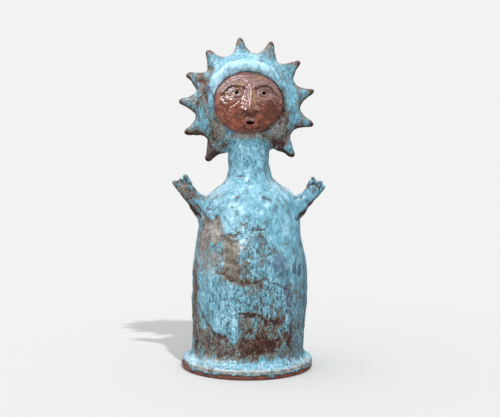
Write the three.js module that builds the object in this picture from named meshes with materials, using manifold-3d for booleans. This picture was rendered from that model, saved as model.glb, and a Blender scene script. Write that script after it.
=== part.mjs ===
// A hand-built ceramic sun figure: a bell-shaped body on a round slab, a tall neck, two raised arms with
// mitten hands, and a sun-disc head with eleven rays, a thick rolled hood and a domed, pierced face.
// Millimetres, +Z up, facing -Y. The origin is the centre of the slab's flat underside.
import * as THREE from "three";
import { LoftGeometry } from "three/addons/geometries/LoftGeometry.js";
import { mergeVertices } from "three/addons/utils/BufferGeometryUtils.js";
import Module from "manifold-3d";

const wasm = await Module();
wasm.setup();

// Driving dimensions
const SLAB_RADIUS = 76;
const SLAB_THICKNESS = 12;
const BODY_RADIUS = 67;
const NECK_RADIUS = 23;
const NECK_TOP = 286;
const NECK_TOP_TAPER = 5;
const DISC_CENTRE = new THREE.Vector3(0.2, 0, 301);
const DISC_RADIUS = 60.5;
const RAY_TIP_RADIUS = 79;
const FACE_CENTRE = new THREE.Vector3(1.1, 0, 305.4);
const FACE_HALF_WIDTH = 39.2;
const FACE_HALF_HEIGHT = 35.9;

// Facets round each form, and rows of them along each limb
const BODY_SIDES = 46;
const DISC_SIDES = 40;
const FACE_SIDES = 42;
const RAY_FACETS = { rows: 7, sides: 9 };
const HOOD_FACETS = { rows: 20, sides: 10 };
const ARM_FACETS = { rows: 9, sides: 14 };
const FINGER_FACETS = { rows: 4, sides: 6 };
const PUPIL_SIDES = 10;
const MOUTH_SIDES = 14;

const FORWARD = new THREE.Vector3(0, -1, 0);
const degrees = THREE.MathUtils.degToRad;
const mix = THREE.MathUtils.lerp;

// A smooth bump of height 1 that is centred on 0 and has faded out at about twice the given width.
const bump = (distance, width) => Math.exp(-((distance / width) ** 2));

// Reads a list of [place, value] stations as one smooth curve, by monotone cubic steps between them.
function along(stations, place) {
  const last = stations.length - 1;
  if (place <= stations[0][0]) return stations[0][1];
  if (place >= stations[last][0]) return stations[last][1];
  const i = stations.findIndex((station, k) => k < last && place < stations[k + 1][0]);
  const slope = (k) => {
    if (k < 0 || k >= last) return null;
    return (stations[k + 1][1] - stations[k][1]) / (stations[k + 1][0] - stations[k][0]);
  };
  const tangent = (k) => {
    const before = slope(k - 1);
    const after = slope(k);
    if (before === null) return after;
    if (after === null) return before;
    return before * after <= 0 ? 0 : (2 * before * after) / (before + after);
  };
  const span = stations[i + 1][0] - stations[i][0];
  const t = (place - stations[i][0]) / span;
  const [t2, t3] = [t * t, t * t * t];
  return (
    (2 * t3 - 3 * t2 + 1) * stations[i][1] +
    (t3 - 2 * t2 + t) * span * tangent(i) +
    (3 * t2 - 2 * t3) * stations[i + 1][1] +
    (t3 - t2) * span * tangent(i + 1)
  );
}

// Turns a closed geometry into a solid that can be joined and cut.
function solid(geometry) {
  const bare = geometry.index ? geometry.toNonIndexed() : geometry;
  const positions = new THREE.BufferGeometry();
  positions.setAttribute("position", bare.getAttribute("position"));
  const merged = mergeVertices(positions, 1e-3);
  return new wasm.Manifold(
    new wasm.Mesh({
      numProp: 3,
      vertProperties: merged.attributes.position.array,
      triVerts: new Uint32Array(merged.index.array),
    }),
  );
}

// The closed skin over a row of rings, flat at both ends.
function skin(rings) {
  return solid(new LoftGeometry(rings, { capStart: true, capEnd: true }));
}

// A tapered limb of clay along a path: an oval of the given half-widths at each place, with a rounded tip.
// The oval's first axis is square to the path and to FORWARD, its second one points FORWARD.
function limb(path, halfWidth, halfDepth, { rows, sides }) {
  const tipStart = 0.86;
  const tipSize = 0.3;
  const curve = new THREE.CatmullRomCurve3(path);
  const rings = [];
  for (let k = 0; k <= rows; k++) {
    const t = Math.sin((Math.PI / 2) * (k / rows));
    const intoTip = Math.max(0, (t - tipStart) / (1 - tipStart));
    const round = Math.max(tipSize, Math.sqrt(1 - intoTip ** 2));
    const ahead = curve.getTangent(t);
    const across = new THREE.Vector3().crossVectors(FORWARD, ahead).normalize();
    const up = new THREE.Vector3().crossVectors(ahead, across);
    rings.push(
      Array.from({ length: sides }, (_, i) => {
        const turn = (2 * Math.PI * i) / sides;
        return curve
          .getPoint(t)
          .addScaledVector(across, halfWidth(t) * round * Math.cos(turn))
          .addScaledVector(up, halfDepth(t) * round * Math.sin(turn));
      }),
    );
  }
  return skin(rings);
}

// Slab, skirt, shoulders and neck: [height, radius] from the underside up
const SLAB_EDGE = [
  [0, SLAB_RADIUS - 2],
  [1.5, SLAB_RADIUS - 0.5],
  [4, SLAB_RADIUS - 0.5],
  [7, SLAB_RADIUS],
  [10, SLAB_RADIUS - 1.2],
  [SLAB_THICKNESS, SLAB_RADIUS - 3.5],
];
const OUTLINE = [
  [SLAB_THICKNESS + 1, SLAB_RADIUS - 7],
  [16, 66],
  [22, 64.6],
  [50, 65.6],
  [82, BODY_RADIUS],
  [112, 66],
  [142, 61.4],
  [168, 56.6],
  [188, 52],
  [200, 45],
  [208, 36.5],
  [214, 29.5],
  [222, 24.6],
  [234, NECK_RADIUS],
  [262, NECK_RADIUS],
  [NECK_TOP, NECK_RADIUS - NECK_TOP_TAPER],
];
const RING_HEIGHTS = [
  13, 16, 22, 38, 56, 74, 92, 110, 126, 140, 152, 162, 171, 179, 186, 192, 197.5, 202.5, 207, 211, 215, 220,
  228, 242, 256, 266, 276, NECK_TOP,
];

// The body bulges to one side halfway up, as a hand-built cylinder does.
const SIDE_BULGE = 2.8;
const BULGE_HEIGHT = 300;

// The wall swells out where each arm springs from it, and one shoulder is fuller than the other.
const SHOULDER_HEIGHT = 184;
const SHOULDER_SPREAD = 14;
const SHOULDER_SWELL = 6;
const SHOULDER_TURN = 0.42;
const FULL_SHOULDER_HEIGHT = 205;
const FULL_SHOULDER_SPREAD = 10;
const FULL_SHOULDER_SWELL = 4;

// How much of the neck's depth is left behind its axis, as it is thinned into the back of the disc.
const NECK_BACK = [
  [232, 1],
  [254, 0.88],
  [270, 0.6],
  [NECK_TOP, 0.2],
];

// Slow waves round the wall, left by paddling the clay, that fade out towards the slab:
// depth, number round the wall, start, and the rise that turns the wave by one radian
const PADDLE_WAVES = [
  [0.7, 2, 0.6, 55],
  [0.45, 3, 0, -28],
  [0.3, 5, 1.1, 19],
];
const PADDLE_FADE = 60;

function paddling(turn, height) {
  const wave = ([depth, count, start, rise]) => depth * Math.sin(count * turn + start + height / rise);
  const waves = PADDLE_WAVES.reduce((sum, row) => sum + wave(row), 0);
  return Math.min(1, height / PADDLE_FADE) * waves;
}

function slabRing([height, radius]) {
  return Array.from({ length: BODY_SIDES }, (_, i) => {
    const turn = (2 * Math.PI * i) / BODY_SIDES;
    return new THREE.Vector3(radius * Math.sin(turn), -radius * Math.cos(turn), height);
  });
}

function bodyRing(height, radius) {
  const bulge = SIDE_BULGE * Math.sin((Math.PI * Math.min(height, BULGE_HEIGHT)) / BULGE_HEIGHT);
  const back = along(NECK_BACK, height);
  const atShoulder = SHOULDER_SWELL * bump(height - SHOULDER_HEIGHT, SHOULDER_SPREAD);
  const atFullShoulder = FULL_SHOULDER_SWELL * bump(height - FULL_SHOULDER_HEIGHT, FULL_SHOULDER_SPREAD);
  return Array.from({ length: BODY_SIDES }, (_, i) => {
    const turn = (2 * Math.PI * i) / BODY_SIDES;
    const swell = atShoulder * bump(Math.cos(turn), SHOULDER_TURN);
    const fuller = atFullShoulder * Math.max(0, Math.sin(turn));
    const r = radius + swell + fuller + paddling(turn, height) * (radius / BODY_RADIUS);
    const y = -r * Math.cos(turn);
    return new THREE.Vector3(bulge + r * Math.sin(turn), y > 0 ? y * back : y, height);
  });
}

function body() {
  const rings = SLAB_EDGE.map(slabRing);
  for (const height of RING_HEIGHTS) rings.push(bodyRing(height, along(OUTLINE, height)));
  return skin(rings);
}

// Sun disc: [distance behind the neck's axis, radius], a lens that is steeper in front than behind
const LENS = [
  [-22.5, 32],
  [-20.8, 41],
  [-16, 50],
  [-9, 57.5],
  [-3, DISC_RADIUS],
  [2, DISC_RADIUS - 0.5],
  [8, 55.5],
  [13, 46.5],
  [17, 34],
  [19.6, 18],
];
// The disc is drawn in a little where it meets the neck.
const CHIN_DRAW = 0.1;

function disc() {
  return skin(
    LENS.map(([depth, radius]) =>
      Array.from({ length: DISC_SIDES }, (_, i) => {
        const turn = (2 * Math.PI * i) / DISC_SIDES;
        const r = radius * (1 - CHIN_DRAW * Math.max(0, Math.sin(turn)) ** 4);
        // Depth grows away from the viewer, so the ring runs anticlockwise as seen from behind.
        return new THREE.Vector3(r * Math.cos(turn), depth, -r * Math.sin(turn)).add(DISC_CENTRE);
      }),
    ),
  );
}

// Rays: eleven pinched points round the disc, with a gap for the neck, broad at the root and hollow-sided
const RAY_TURNS = [96.6, 67.9, 41.6, 11.8, -16, -46.2, 232, 203.9, 176.8, 151.6, 127.2];
const RAY_PATH_RADII = [44, 58, 69, RAY_TIP_RADIUS];
const RAY_DEPTH = -2.5;
const RAY_DRIFT = 2.2;
const RAY_DRIFT_STEP = 2.3;
const RAY_HALF_WIDTHS = [
  [0, 14.5],
  [0.33, 12.8],
  [0.5, 9.3],
  [0.67, 6.3],
  [0.84, 4.3],
  [1, 3.1],
];
const RAY_HALF_DEPTHS = [
  [0, 9],
  [0.33, 7.4],
  [0.67, 4.8],
  [1, 2.8],
];

function ray(turn, index) {
  // Each tip was bent a little to one side or the other by hand.
  const drift = RAY_DRIFT * Math.sin(index * RAY_DRIFT_STEP);
  const out = new THREE.Vector3(Math.cos(degrees(turn)), 0, Math.sin(degrees(turn)));
  const aside = new THREE.Vector3(-out.z, 0, out.x);
  const path = RAY_PATH_RADII.map((radius, k) => {
    const bend = (k / (RAY_PATH_RADII.length - 1)) ** 3;
    const point = DISC_CENTRE.clone().addScaledVector(out, radius).addScaledVector(aside, drift * bend);
    return point.addScaledVector(FORWARD, -RAY_DEPTH);
  });
  return limb(path, (t) => along(RAY_HALF_WIDTHS, t), (t) => along(RAY_HALF_DEPTHS, t), RAY_FACETS);
}

// Hood: a thick rolled strip laid round the top of the face, tapering to a point at each end
const HOOD_RADIUS = 43.4;
const HOOD_START = 177;
const HOOD_END = -22;
const HOOD_DEPTH = -19;
const HOOD_STEPS = 8;
const HOOD_HALF_WIDTH = 7.6;
const HOOD_HALF_DEPTH = 8;
const HOOD_TAPER = [
  [0, 0.3],
  [0.08, 0.66],
  [0.2, 0.9],
  [0.35, 1],
  [0.6, 0.95],
  [0.82, 0.5],
  [1, 0.3],
];

function hood() {
  const path = Array.from({ length: HOOD_STEPS + 1 }, (_, i) => {
    const turn = degrees(mix(HOOD_START, HOOD_END, i / HOOD_STEPS));
    const point = new THREE.Vector3(Math.cos(turn), 0, Math.sin(turn)).multiplyScalar(HOOD_RADIUS);
    return point.add(FACE_CENTRE).addScaledVector(FORWARD, -HOOD_DEPTH);
  });
  const taper = (t) => along(HOOD_TAPER, t);
  return limb(path, (t) => HOOD_HALF_WIDTH * taper(t), (t) => HOOD_HALF_DEPTH * taper(t), HOOD_FACETS);
}

// Face: a dome of clay set under the hood, with its features a little to one side of the dome's middle
const FACE_RIM_DEPTH = -22.5;
const FACE_TILT = 2.5;
const FACE_WALL = 2.5;
const FACE_DOME = 11;
const DOME_FULLNESS = 0.72;
const RIM_SHARE = 1 / 6;
const FACE_SEAT = 6;
const FACE_MIDDLE = 2.5;
const EYE = { across: 15.2, up: 11, halfWidth: 6.4, halfHeight: 4.4, thread: 1.5, pupil: 2.3 };
const MOUTH = { up: -23, halfWidth: 6.6, halfHeight: 4.2, thread: 1.6, openWidth: 4.6, openHeight: 2.4 };
const BROW = { across: 14, up: 20, arch: 0.014, archMiddle: 12, spread: 9.5, thickness: 3.6, rise: 1.9 };
const NOSE = { root: 19, base: -10.5, thin: 3, widening: 2.6, low: 1.2, rise: 5.6, longest: 1.15 };
const NOSE_EDGE = { drop: 0.5, softness: 1.3, bridge: 15, bridgeFade: 5 };
// Soft forms on both sides of the middle: how far out and how high, half-width, half-height, and rise
const SOFT_FORMS = {
  socket: [EYE.across, EYE.up, 8.5, 5, -2.4],
  eyeball: [EYE.across, EYE.up, 4.6, 3.6, 1.6],
  nostril: [5.2, NOSE.base + 2, 2.8, 3.4, 1.8],
  cheek: [19, 1, 8, 7, 1.8],
  muzzle: [0, MOUTH.up, 10, 6.5, 1.8],
  chin: [0, -31, 8, 3.5, 1.2],
};

// Each brow is an arch that follows a parabola.
function brow(side, w) {
  const line = BROW.up - BROW.arch * (side - BROW.archMiddle) ** 2;
  return BROW.rise * bump(w - line, BROW.thickness) * bump(side - BROW.across, BROW.spread);
}

// The nose rises and widens evenly from between the brows down to its base, where it ends in a soft step.
function nose(side, w) {
  const down = THREE.MathUtils.clamp((NOSE.root - w) / (NOSE.root - NOSE.base), 0, NOSE.longest);
  const step = 1 / (1 + Math.exp((NOSE.base - NOSE_EDGE.drop - w) / NOSE_EDGE.softness));
  const bridge = bump(Math.max(0, w - NOSE_EDGE.bridge), NOSE_EDGE.bridgeFade);
  return (NOSE.low + NOSE.rise * down) * step * bridge * bump(side, NOSE.thin + NOSE.widening * down);
}

// Height of the modelled features above the plain dome, at u across and w up from the face's centre.
function features(u, w) {
  const side = Math.abs(u - FACE_MIDDLE);
  const softForm = ([across, up, halfWidth, halfHeight, rise]) =>
    rise * bump(side - across, halfWidth) * bump(w - up, halfHeight);
  return Object.values(SOFT_FORMS).reduce((sum, row) => sum + softForm(row), brow(side, w) + nose(side, w));
}

// How far the face stands out in front of its tilted rim, at u across and w up.
function relief(u, w) {
  const inner = Math.max(0, 1 - (u / FACE_HALF_WIDTH) ** 2 - (w / FACE_HALF_HEIGHT) ** 2);
  return FACE_WALL + FACE_DOME * inner ** DOME_FULLNESS + features(u, w) * Math.min(1, inner / RIM_SHARE);
}

function onFace(u, w, lift) {
  const rim = FACE_RIM_DEPTH + (FACE_TILT * w) / FACE_HALF_HEIGHT;
  return new THREE.Vector3(u, rim - lift, w).add(FACE_CENTRE);
}

function faceRing(share, height) {
  return Array.from({ length: FACE_SIDES }, (_, i) => {
    const turn = (2 * Math.PI * i) / FACE_SIDES;
    const u = FACE_HALF_WIDTH * share * Math.cos(turn);
    const w = -FACE_HALF_HEIGHT * share * Math.sin(turn);
    return onFace(u, w, height(u, w));
  });
}

function face() {
  const shares = [0.07, 0.14, 0.21, 0.28, 0.35, 0.42, 0.49, 0.56, 0.64, 0.72, 0.8, 0.88, 0.95, 1];
  const front = shares.map((share) => faceRing(share, relief));
  const seat = faceRing(1, () => -FACE_SEAT);
  return skin([...front, seat]);
}

// A thread of clay laid round an eye or the mouth: a ring that is bent to lie on the face.
function threadRound(u, w, { halfWidth, halfHeight, thread }) {
  const tube = 0.25;
  const ring = new THREE.TorusGeometry(1, tube, 5, 16);
  const places = ring.getAttribute("position");
  for (let i = 0; i < places.count; i++) {
    const [x, y, z] = [places.getX(i), places.getY(i), places.getZ(i)];
    const reach = Math.hypot(x, y);
    const out = ((reach - 1) / tube) * thread;
    const [left, up] = [u + (x / reach) * halfWidth, w + (y / reach) * halfHeight];
    const lift = relief(left, up) + (z / tube) * thread;
    const point = onFace(left + (x / reach) * out, up + (y / reach) * out, lift);
    places.setXYZ(i, point.x, point.y, point.z);
  }
  return solid(ring);
}

// A blind hole pushed into the face with a round or oval tool.
const HOLE_BOTTOM = 2;
const HOLE_LENGTH = 30;

function pierced(u, w, halfWidth, halfHeight, sides) {
  const hole = new THREE.CylinderGeometry(1, 1, HOLE_LENGTH, sides);
  hole.scale(halfWidth, 1, halfHeight);
  const middle = onFace(u, w, HOLE_BOTTOM + HOLE_LENGTH / 2);
  hole.translate(middle.x, middle.y, middle.z);
  return solid(hole);
}

// Arms and hands: the middle line of each arm, from inside the body to the end of the palm
const LEFT_ARM = [
  [-34, 0, 177],
  [-50, -2, 185.5],
  [-60, -5, 194.5],
  [-68.5, -8, 205],
  [-74.5, -10, 215],
];
const RIGHT_ARM = [
  [37, 0, 177],
  [53, -2, 183.5],
  [64, -5, 192],
  [73.5, -8, 202.5],
  [79, -10, 212],
];
const ARM_HALF_WIDTHS = [
  [0, 16],
  [0.25, 14.5],
  [0.45, 11.2],
  [0.65, 9],
  [0.8, 8.6],
  [1, 9.4],
];
const ARM_HALF_DEPTHS = [
  [0, 16],
  [0.25, 13.5],
  [0.45, 10],
  [0.65, 7.6],
  [0.8, 6.2],
  [1, 4.8],
];
const FINGER_RADIUS = 2.7;
const FINGER_SPREAD = 5;
const FINGER_ROOT = 8;
const FINGER_REACH = 6;
const FINGER_CURL = 1.8;
const ROOT_SPREAD = 0.9;
const LEFT_REACHES = [1, 0.9, 0.8, 1.1];
const RIGHT_REACHES = [0.7, 1.1, 0.8, 1];

function armAndHand(points, reaches) {
  const path = points.map((point) => new THREE.Vector3(...point));
  const arm = limb(path, (t) => along(ARM_HALF_WIDTHS, t), (t) => along(ARM_HALF_DEPTHS, t), ARM_FACETS);
  const palm = path.at(-1);
  const ahead = new THREE.Vector3().subVectors(palm, path.at(-2)).normalize();
  const across = new THREE.Vector3().crossVectors(FORWARD, ahead).normalize();
  const radius = () => FINGER_RADIUS;
  const fingers = reaches.map((reach, k) => {
    const place = (k - (reaches.length - 1) / 2) * FINGER_SPREAD;
    const root = palm.clone().addScaledVector(across, ROOT_SPREAD * place);
    root.addScaledVector(ahead, -FINGER_ROOT);
    const tip = palm.clone().addScaledVector(across, place).addScaledVector(ahead, FINGER_REACH * reach);
    tip.addScaledVector(FORWARD, FINGER_CURL);
    return limb([root, root.clone().lerp(tip, 0.6), tip], radius, radius, FINGER_FACETS);
  });
  return wasm.Manifold.union([arm, ...fingers]);
}

// Joins every clay part into the one fired piece, and pierces the face.
function figure() {
  const clay = wasm.Manifold.union([
    body(),
    disc(),
    ...RAY_TURNS.map(ray),
    hood(),
    face(),
    threadRound(FACE_MIDDLE - EYE.across, EYE.up, EYE),
    threadRound(FACE_MIDDLE + EYE.across, EYE.up, EYE),
    threadRound(FACE_MIDDLE, MOUTH.up, MOUTH),
    armAndHand(LEFT_ARM, LEFT_REACHES),
    armAndHand(RIGHT_ARM, RIGHT_REACHES),
  ]);
  return clay
    .subtract(pierced(FACE_MIDDLE - EYE.across, EYE.up, EYE.pupil, EYE.pupil, PUPIL_SIDES))
    .subtract(pierced(FACE_MIDDLE + EYE.across, EYE.up, EYE.pupil, EYE.pupil, PUPIL_SIDES))
    .subtract(pierced(FACE_MIDDLE, MOUTH.up, MOUTH.openWidth, MOUTH.openHeight, MOUTH_SIDES));
}

function geometryOf(manifold) {
  const made = manifold.getMesh();
  const geometry = new THREE.BufferGeometry();
  geometry.setAttribute("position", new THREE.BufferAttribute(made.vertProperties, 3));
  geometry.setIndex(new THREE.BufferAttribute(made.triVerts, 1));
  geometry.computeVertexNormals();
  return geometry;
}

const glaze = new THREE.MeshStandardMaterial({ color: 0x7fb3c8, roughness: 0.3, metalness: 0 });
const sunFigure = new THREE.Mesh(geometryOf(figure()), glaze);
sunFigure.name = "sun_figure";

const part = new THREE.Group();
part.add(sunFigure);

export default part;
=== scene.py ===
# %% [markdown]
# # A hand-built sun figure in glazed clay
#
# The real figure is one fired piece of red-brown stoneware, about 380 mm tall. Its maker built a hollow,
# bell-shaped body on a round slab, drew it in to a neck, luted on two raised arms, and set a disc with
# eleven pinched rays on top. The face is a dome of clay under a thick rolled hood. Everything but the
# face and the foot was covered in a turquoise glaze that ran, pooled and crawled in the kiln.
#
# This lesson keeps the maker's order: clay parts, luting, carving, face, glaze, colours, light.

# %% Load the solid that the clay has to fit
import math

import bpy
import mathutils
import numpy as np
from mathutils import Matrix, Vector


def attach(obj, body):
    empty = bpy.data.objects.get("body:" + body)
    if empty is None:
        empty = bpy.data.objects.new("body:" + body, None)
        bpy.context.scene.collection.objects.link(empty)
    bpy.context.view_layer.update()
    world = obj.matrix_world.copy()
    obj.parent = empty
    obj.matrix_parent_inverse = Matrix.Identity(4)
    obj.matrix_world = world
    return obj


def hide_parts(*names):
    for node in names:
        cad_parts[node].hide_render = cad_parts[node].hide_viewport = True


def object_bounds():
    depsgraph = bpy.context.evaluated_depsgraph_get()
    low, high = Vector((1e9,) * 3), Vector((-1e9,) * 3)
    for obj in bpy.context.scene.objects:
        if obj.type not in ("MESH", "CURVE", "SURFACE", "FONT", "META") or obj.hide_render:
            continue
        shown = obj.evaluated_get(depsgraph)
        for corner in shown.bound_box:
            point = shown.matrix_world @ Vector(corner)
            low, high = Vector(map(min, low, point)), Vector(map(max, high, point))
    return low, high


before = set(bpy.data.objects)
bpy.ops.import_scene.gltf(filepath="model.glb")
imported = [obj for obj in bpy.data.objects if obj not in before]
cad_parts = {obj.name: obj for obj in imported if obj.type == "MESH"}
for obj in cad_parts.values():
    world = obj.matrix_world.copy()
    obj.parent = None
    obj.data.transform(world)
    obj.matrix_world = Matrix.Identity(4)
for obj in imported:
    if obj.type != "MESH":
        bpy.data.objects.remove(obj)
cad_low, cad_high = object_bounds()
FIGURE_HEIGHT = 380
MM = (cad_high.z - cad_low.z) / FIGURE_HEIGHT
print(f"the solid is {(cad_high.z - cad_low.z):.3f} m tall, so one millimetre is {MM:.6f} m")

# %% [markdown]
# ## Five small tools
#
# Clay shapes are easier to describe in words than in points, so each shape below is a formula on whole
# arrays. `along` reads a profile as one smooth curve, `bump` is a thumb print or a swelling, `fade` is a
# soft step, `lumps` is the unevenness that hands leave, and `rough` adds up several sizes of it. A noise
# texture could do the last two jobs, but then the mesh and the glaze couldn't share it.

# %% Profiles, bumps, steps and lumps
WAVES = 32
FORWARD = np.array([0.0, -1.0, 0.0])


def along(stations, place):
    """Reads rows of [place, value, ...] as smooth curves: cubic steps between the stations, whose slope at
    each one is the harmonic mean of the slopes on both sides, so a curve never overshoots."""
    table = np.array(stations, float)
    x, y = table[:, 0], table[:, 1:]
    slope = np.diff(y, axis=0) / np.diff(x)[:, None]
    same_way = slope[:-1] * slope[1:] > 0
    total = np.where(same_way, slope[:-1] + slope[1:], 1)
    middle = np.where(same_way, 2 * slope[:-1] * slope[1:] / total, 0)
    tangent = np.concatenate([slope[:1], middle, slope[-1:]])
    place = np.clip(place, x[0], x[-1])
    i = np.clip(np.searchsorted(x, place, side="right") - 1, 0, len(x) - 2)
    span = np.diff(x)[i][:, None]
    t = (place - x[i])[:, None] / span
    value = (
        (2 * t**3 - 3 * t**2 + 1) * y[i]
        + (t**3 - 2 * t**2 + t) * span * tangent[i]
        + (3 * t**2 - 2 * t**3) * y[i + 1]
        + (t**3 - t**2) * span * tangent[i + 1]
    )
    return value[:, 0] if value.shape[1] == 1 else value


def bump(distance, width):
    """A smooth bump of height 1, centred on 0, that has faded out at about twice the width."""
    return np.exp(-((distance / width) ** 2))


def fade(value, low, high):
    """0 up to low, 1 from high, and a smooth step between them."""
    t = np.clip((value - low) / (high - low), 0, 1)
    return t * t * (3 - 2 * t)


def lumps(points, size, seed, stretch=(1, 1, 1)):
    """Soft random lumps of about -1 to 1: a sum of cosine waves in random directions, with a pitch near
    twice the size, so that a lump is one size across. Stretch draws them out along x, y and z."""
    chance = np.random.default_rng(seed)
    direction = chance.normal(size=(WAVES, 3))
    direction /= np.linalg.norm(direction, axis=1)[:, None]
    pitch = np.pi / size * chance.uniform(0.6, 1.5, (WAVES, 1))
    start = chance.uniform(0, 2 * np.pi, WAVES)
    return np.cos(points @ (direction * pitch / np.array(stretch)).T + start).sum(1) / math.sqrt(WAVES)


def rough(points, rows):
    """The sum of several sizes of lumps. Each row: how much, size, seed, and a stretch if there is one."""
    return sum(amount * lumps(points, *kind) for amount, *kind in rows)


print("a lump of 10 mm, read every 5 mm:", np.round(lumps(np.arange(4)[:, None] * [5.0, 0, 0], 10, 1), 2))

# %% [markdown]
# ## Skins over rings
#
# Every clay part is a row of closed rings with a skin over them: the body's rings are stacked, and a
# limb's rings follow its middle line. A curve object with a bevel could draw a limb as well, but an
# array of rings also takes a flattened palm or a pinched ray.

# %% Rings, skins and parts
def skin(rings):
    """Quads between neighbouring rings, and a fan of triangles to the middle of each end ring. The rings
    run anticlockwise as seen from the last one."""
    rows, sides = rings.shape[:2]
    points = np.vstack([rings.reshape(-1, 3), rings[0].mean(0), rings[-1].mean(0)])
    row, column = np.mgrid[0 : rows - 1, 0:sides]
    here, beside = row * sides + column, row * sides + (column + 1) % sides
    quads = np.stack([here, beside, beside + sides, here + sides], -1).reshape(-1, 4)
    first = np.arange(sides)
    second, last_ring = (first + 1) % sides, (rows - 1) * sides
    start_cap = np.stack([second, first, np.full(sides, rows * sides)], -1)
    end_cap = np.stack([last_ring + first, last_ring + second, np.full(sides, rows * sides + 1)], -1)
    return points, quads, np.vstack([start_cap, end_cap])


def together(parts):
    """One part from several: their points in one list, with each part's faces moved up to match."""
    starts = np.cumsum([0] + [len(points) for points, _, _ in parts])
    points = np.vstack([points for points, _, _ in parts])
    quads = np.vstack([quads + start for (_, quads, _), start in zip(parts, starts)])
    triangles = np.vstack([triangles + start for (_, _, triangles), start in zip(parts, starts)])
    return points, quads, triangles


def piece(name, part):
    """An object at the origin, with the part's millimetres turned into metres in its mesh."""
    points, quads, triangles = part
    mesh = bpy.data.meshes.new(name)
    mesh.from_pydata((points * MM).tolist(), [], quads.tolist() + triangles.tolist())
    thing = bpy.data.objects.new(name, mesh)
    bpy.context.scene.collection.objects.link(thing)
    return thing


def limb(path, half_width, half_depth, rows=48, sides=24):
    """An oval carried along a path: centre + across * half width * cos(turn) + up * half depth * sin(turn),
    with the last seventh drawn in as a quarter circle. Across is square to the path and to the front."""
    tip_start, tip_size = 0.86, 0.1
    t = np.sin(np.pi / 2 * np.linspace(0, 1, rows))
    centre = along(np.column_stack([np.linspace(0, 1, len(path)), path]), t)
    ahead = np.gradient(centre, t, axis=0)
    across = np.cross(FORWARD, ahead)
    across /= np.linalg.norm(across, axis=1)[:, None]
    up = np.cross(ahead / np.linalg.norm(ahead, axis=1)[:, None], across)
    into_tip = np.clip((t - tip_start) / (1 - tip_start), 0, 1)
    drawn_in = np.sqrt(np.clip(1 - into_tip**2, tip_size**2, 1))
    turn = np.linspace(0, 2 * np.pi, sides, endpoint=False)
    wide = (along(half_width, t) * drawn_in)[:, None] * np.cos(turn)
    deep = (along(half_depth, t) * drawn_in)[:, None] * np.sin(turn)
    return skin(centre[:, None] + across[:, None] * wide[..., None] + up[:, None] * deep[..., None])


# %% [markdown]
# ## Body, slab and neck
#
# The body was built as a closed bell on a round slab. It leans a little, its wall is wavy from the
# paddle, and it swells where the arms spring. All of that is one radius, as a function of the turn round
# the figure and the height, with the slab's edge as a profile of its own.

# %% Body
SLAB_RADIUS = 76
SLAB_THICKNESS = 12
BODY_RADIUS = 67
NECK_RADIUS = 23
NECK_TOP = 286
BODY_SIDES = 120
SLAB_ROWS = 9
BELL_ROWS = 96
BELL_TOP = 276
SLAB_WAVE = 0.5
SIDE_BULGE = 2.8
BULGE_HEIGHT = 300
SIDE_SPAN = 0.42
ARM_SWELL, ARM_SWELL_HEIGHT, ARM_SWELL_SPREAD = 6, 184, 14
RIGHT_SWELL, RIGHT_SWELL_HEIGHT, RIGHT_SWELL_SPREAD = 4, 205, 10
PADDLED_FROM = 60
# Each row: height of the wave, how many go round, where they start, and their slant up the wall.
PADDLE_WAVES = [[0.7, 2, 0.6, 55], [0.45, 3, 0, -28], [0.3, 5, 1.1, 19]]
SLAB_EDGE = [
    [0, SLAB_RADIUS - 2],
    [1.5, SLAB_RADIUS - 0.5],
    [4, SLAB_RADIUS - 0.5],
    [7, SLAB_RADIUS],
    [10, SLAB_RADIUS - 1.2],
    [SLAB_THICKNESS, SLAB_RADIUS - 3.5],
]
OUTLINE = [
    [SLAB_THICKNESS + 1, SLAB_RADIUS - 7],
    [16, 66],
    [22, 64.6],
    [50, 65.6],
    [82, BODY_RADIUS],
    [112, 66],
    [142, 61.4],
    [168, 56.6],
    [188, 52],
    [200, 45],
    [208, 36.5],
    [214, 29.5],
    [222, 24.6],
    [234, NECK_RADIUS],
    [262, NECK_RADIUS],
    [NECK_TOP, NECK_RADIUS - 5],
]
NECK_BACK = [[232, 1], [254, 0.88], [270, 0.6], [NECK_TOP, 0.2]]


def side_bulge(height):
    """How far the body's middle leans to +X: half a sine wave over the figure's height."""
    return SIDE_BULGE * np.sin(np.pi * np.minimum(height, BULGE_HEIGHT) / BULGE_HEIGHT)


def paddling(turn, height):
    """Slow waves round the wall that fade out towards the slab: sines of the turn and the height."""
    waves = 0
    for rise, many, start, slant in PADDLE_WAVES:
        waves = waves + rise * np.sin(many * turn + start + height / slant)
    return np.minimum(1, height / PADDLED_FROM) * waves


def body():
    """Rings of (radius * sin(turn), -radius * cos(turn), height). The neck's back is thinner at its top."""
    turn = np.linspace(0, 2 * np.pi, BODY_SIDES, endpoint=False)[None]
    slab_height = np.linspace(0, SLAB_THICKNESS, SLAB_ROWS)
    wall_height = np.concatenate([np.linspace(SLAB_THICKNESS + 1, BELL_TOP, BELL_ROWS), [NECK_TOP]])
    slab_radius = along(SLAB_EDGE, slab_height)[:, None] + SLAB_WAVE * np.sin(3 * turn + 0.4)
    height = wall_height[:, None]
    both_sides, right_side = bump(np.cos(turn), SIDE_SPAN), np.maximum(0, np.sin(turn))
    swell = ARM_SWELL * both_sides * bump(height - ARM_SWELL_HEIGHT, ARM_SWELL_SPREAD)
    swell = swell + RIGHT_SWELL * right_side * bump(height - RIGHT_SWELL_HEIGHT, RIGHT_SWELL_SPREAD)
    radius = along(OUTLINE, wall_height)[:, None]
    wall_radius = radius + swell + paddling(turn, height) * radius / BODY_RADIUS
    radius = np.vstack([slab_radius, wall_radius])
    height = np.concatenate([slab_height, wall_height])[:, None] + 0 * turn
    lean = np.where(height > SLAB_THICKNESS, side_bulge(height), 0)
    y = -radius * np.cos(turn)
    back = along(NECK_BACK, height[:, 0])[:, None]
    return skin(np.stack([lean + radius * np.sin(turn), np.where(y > 0, y * back, y), height], -1))


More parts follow.
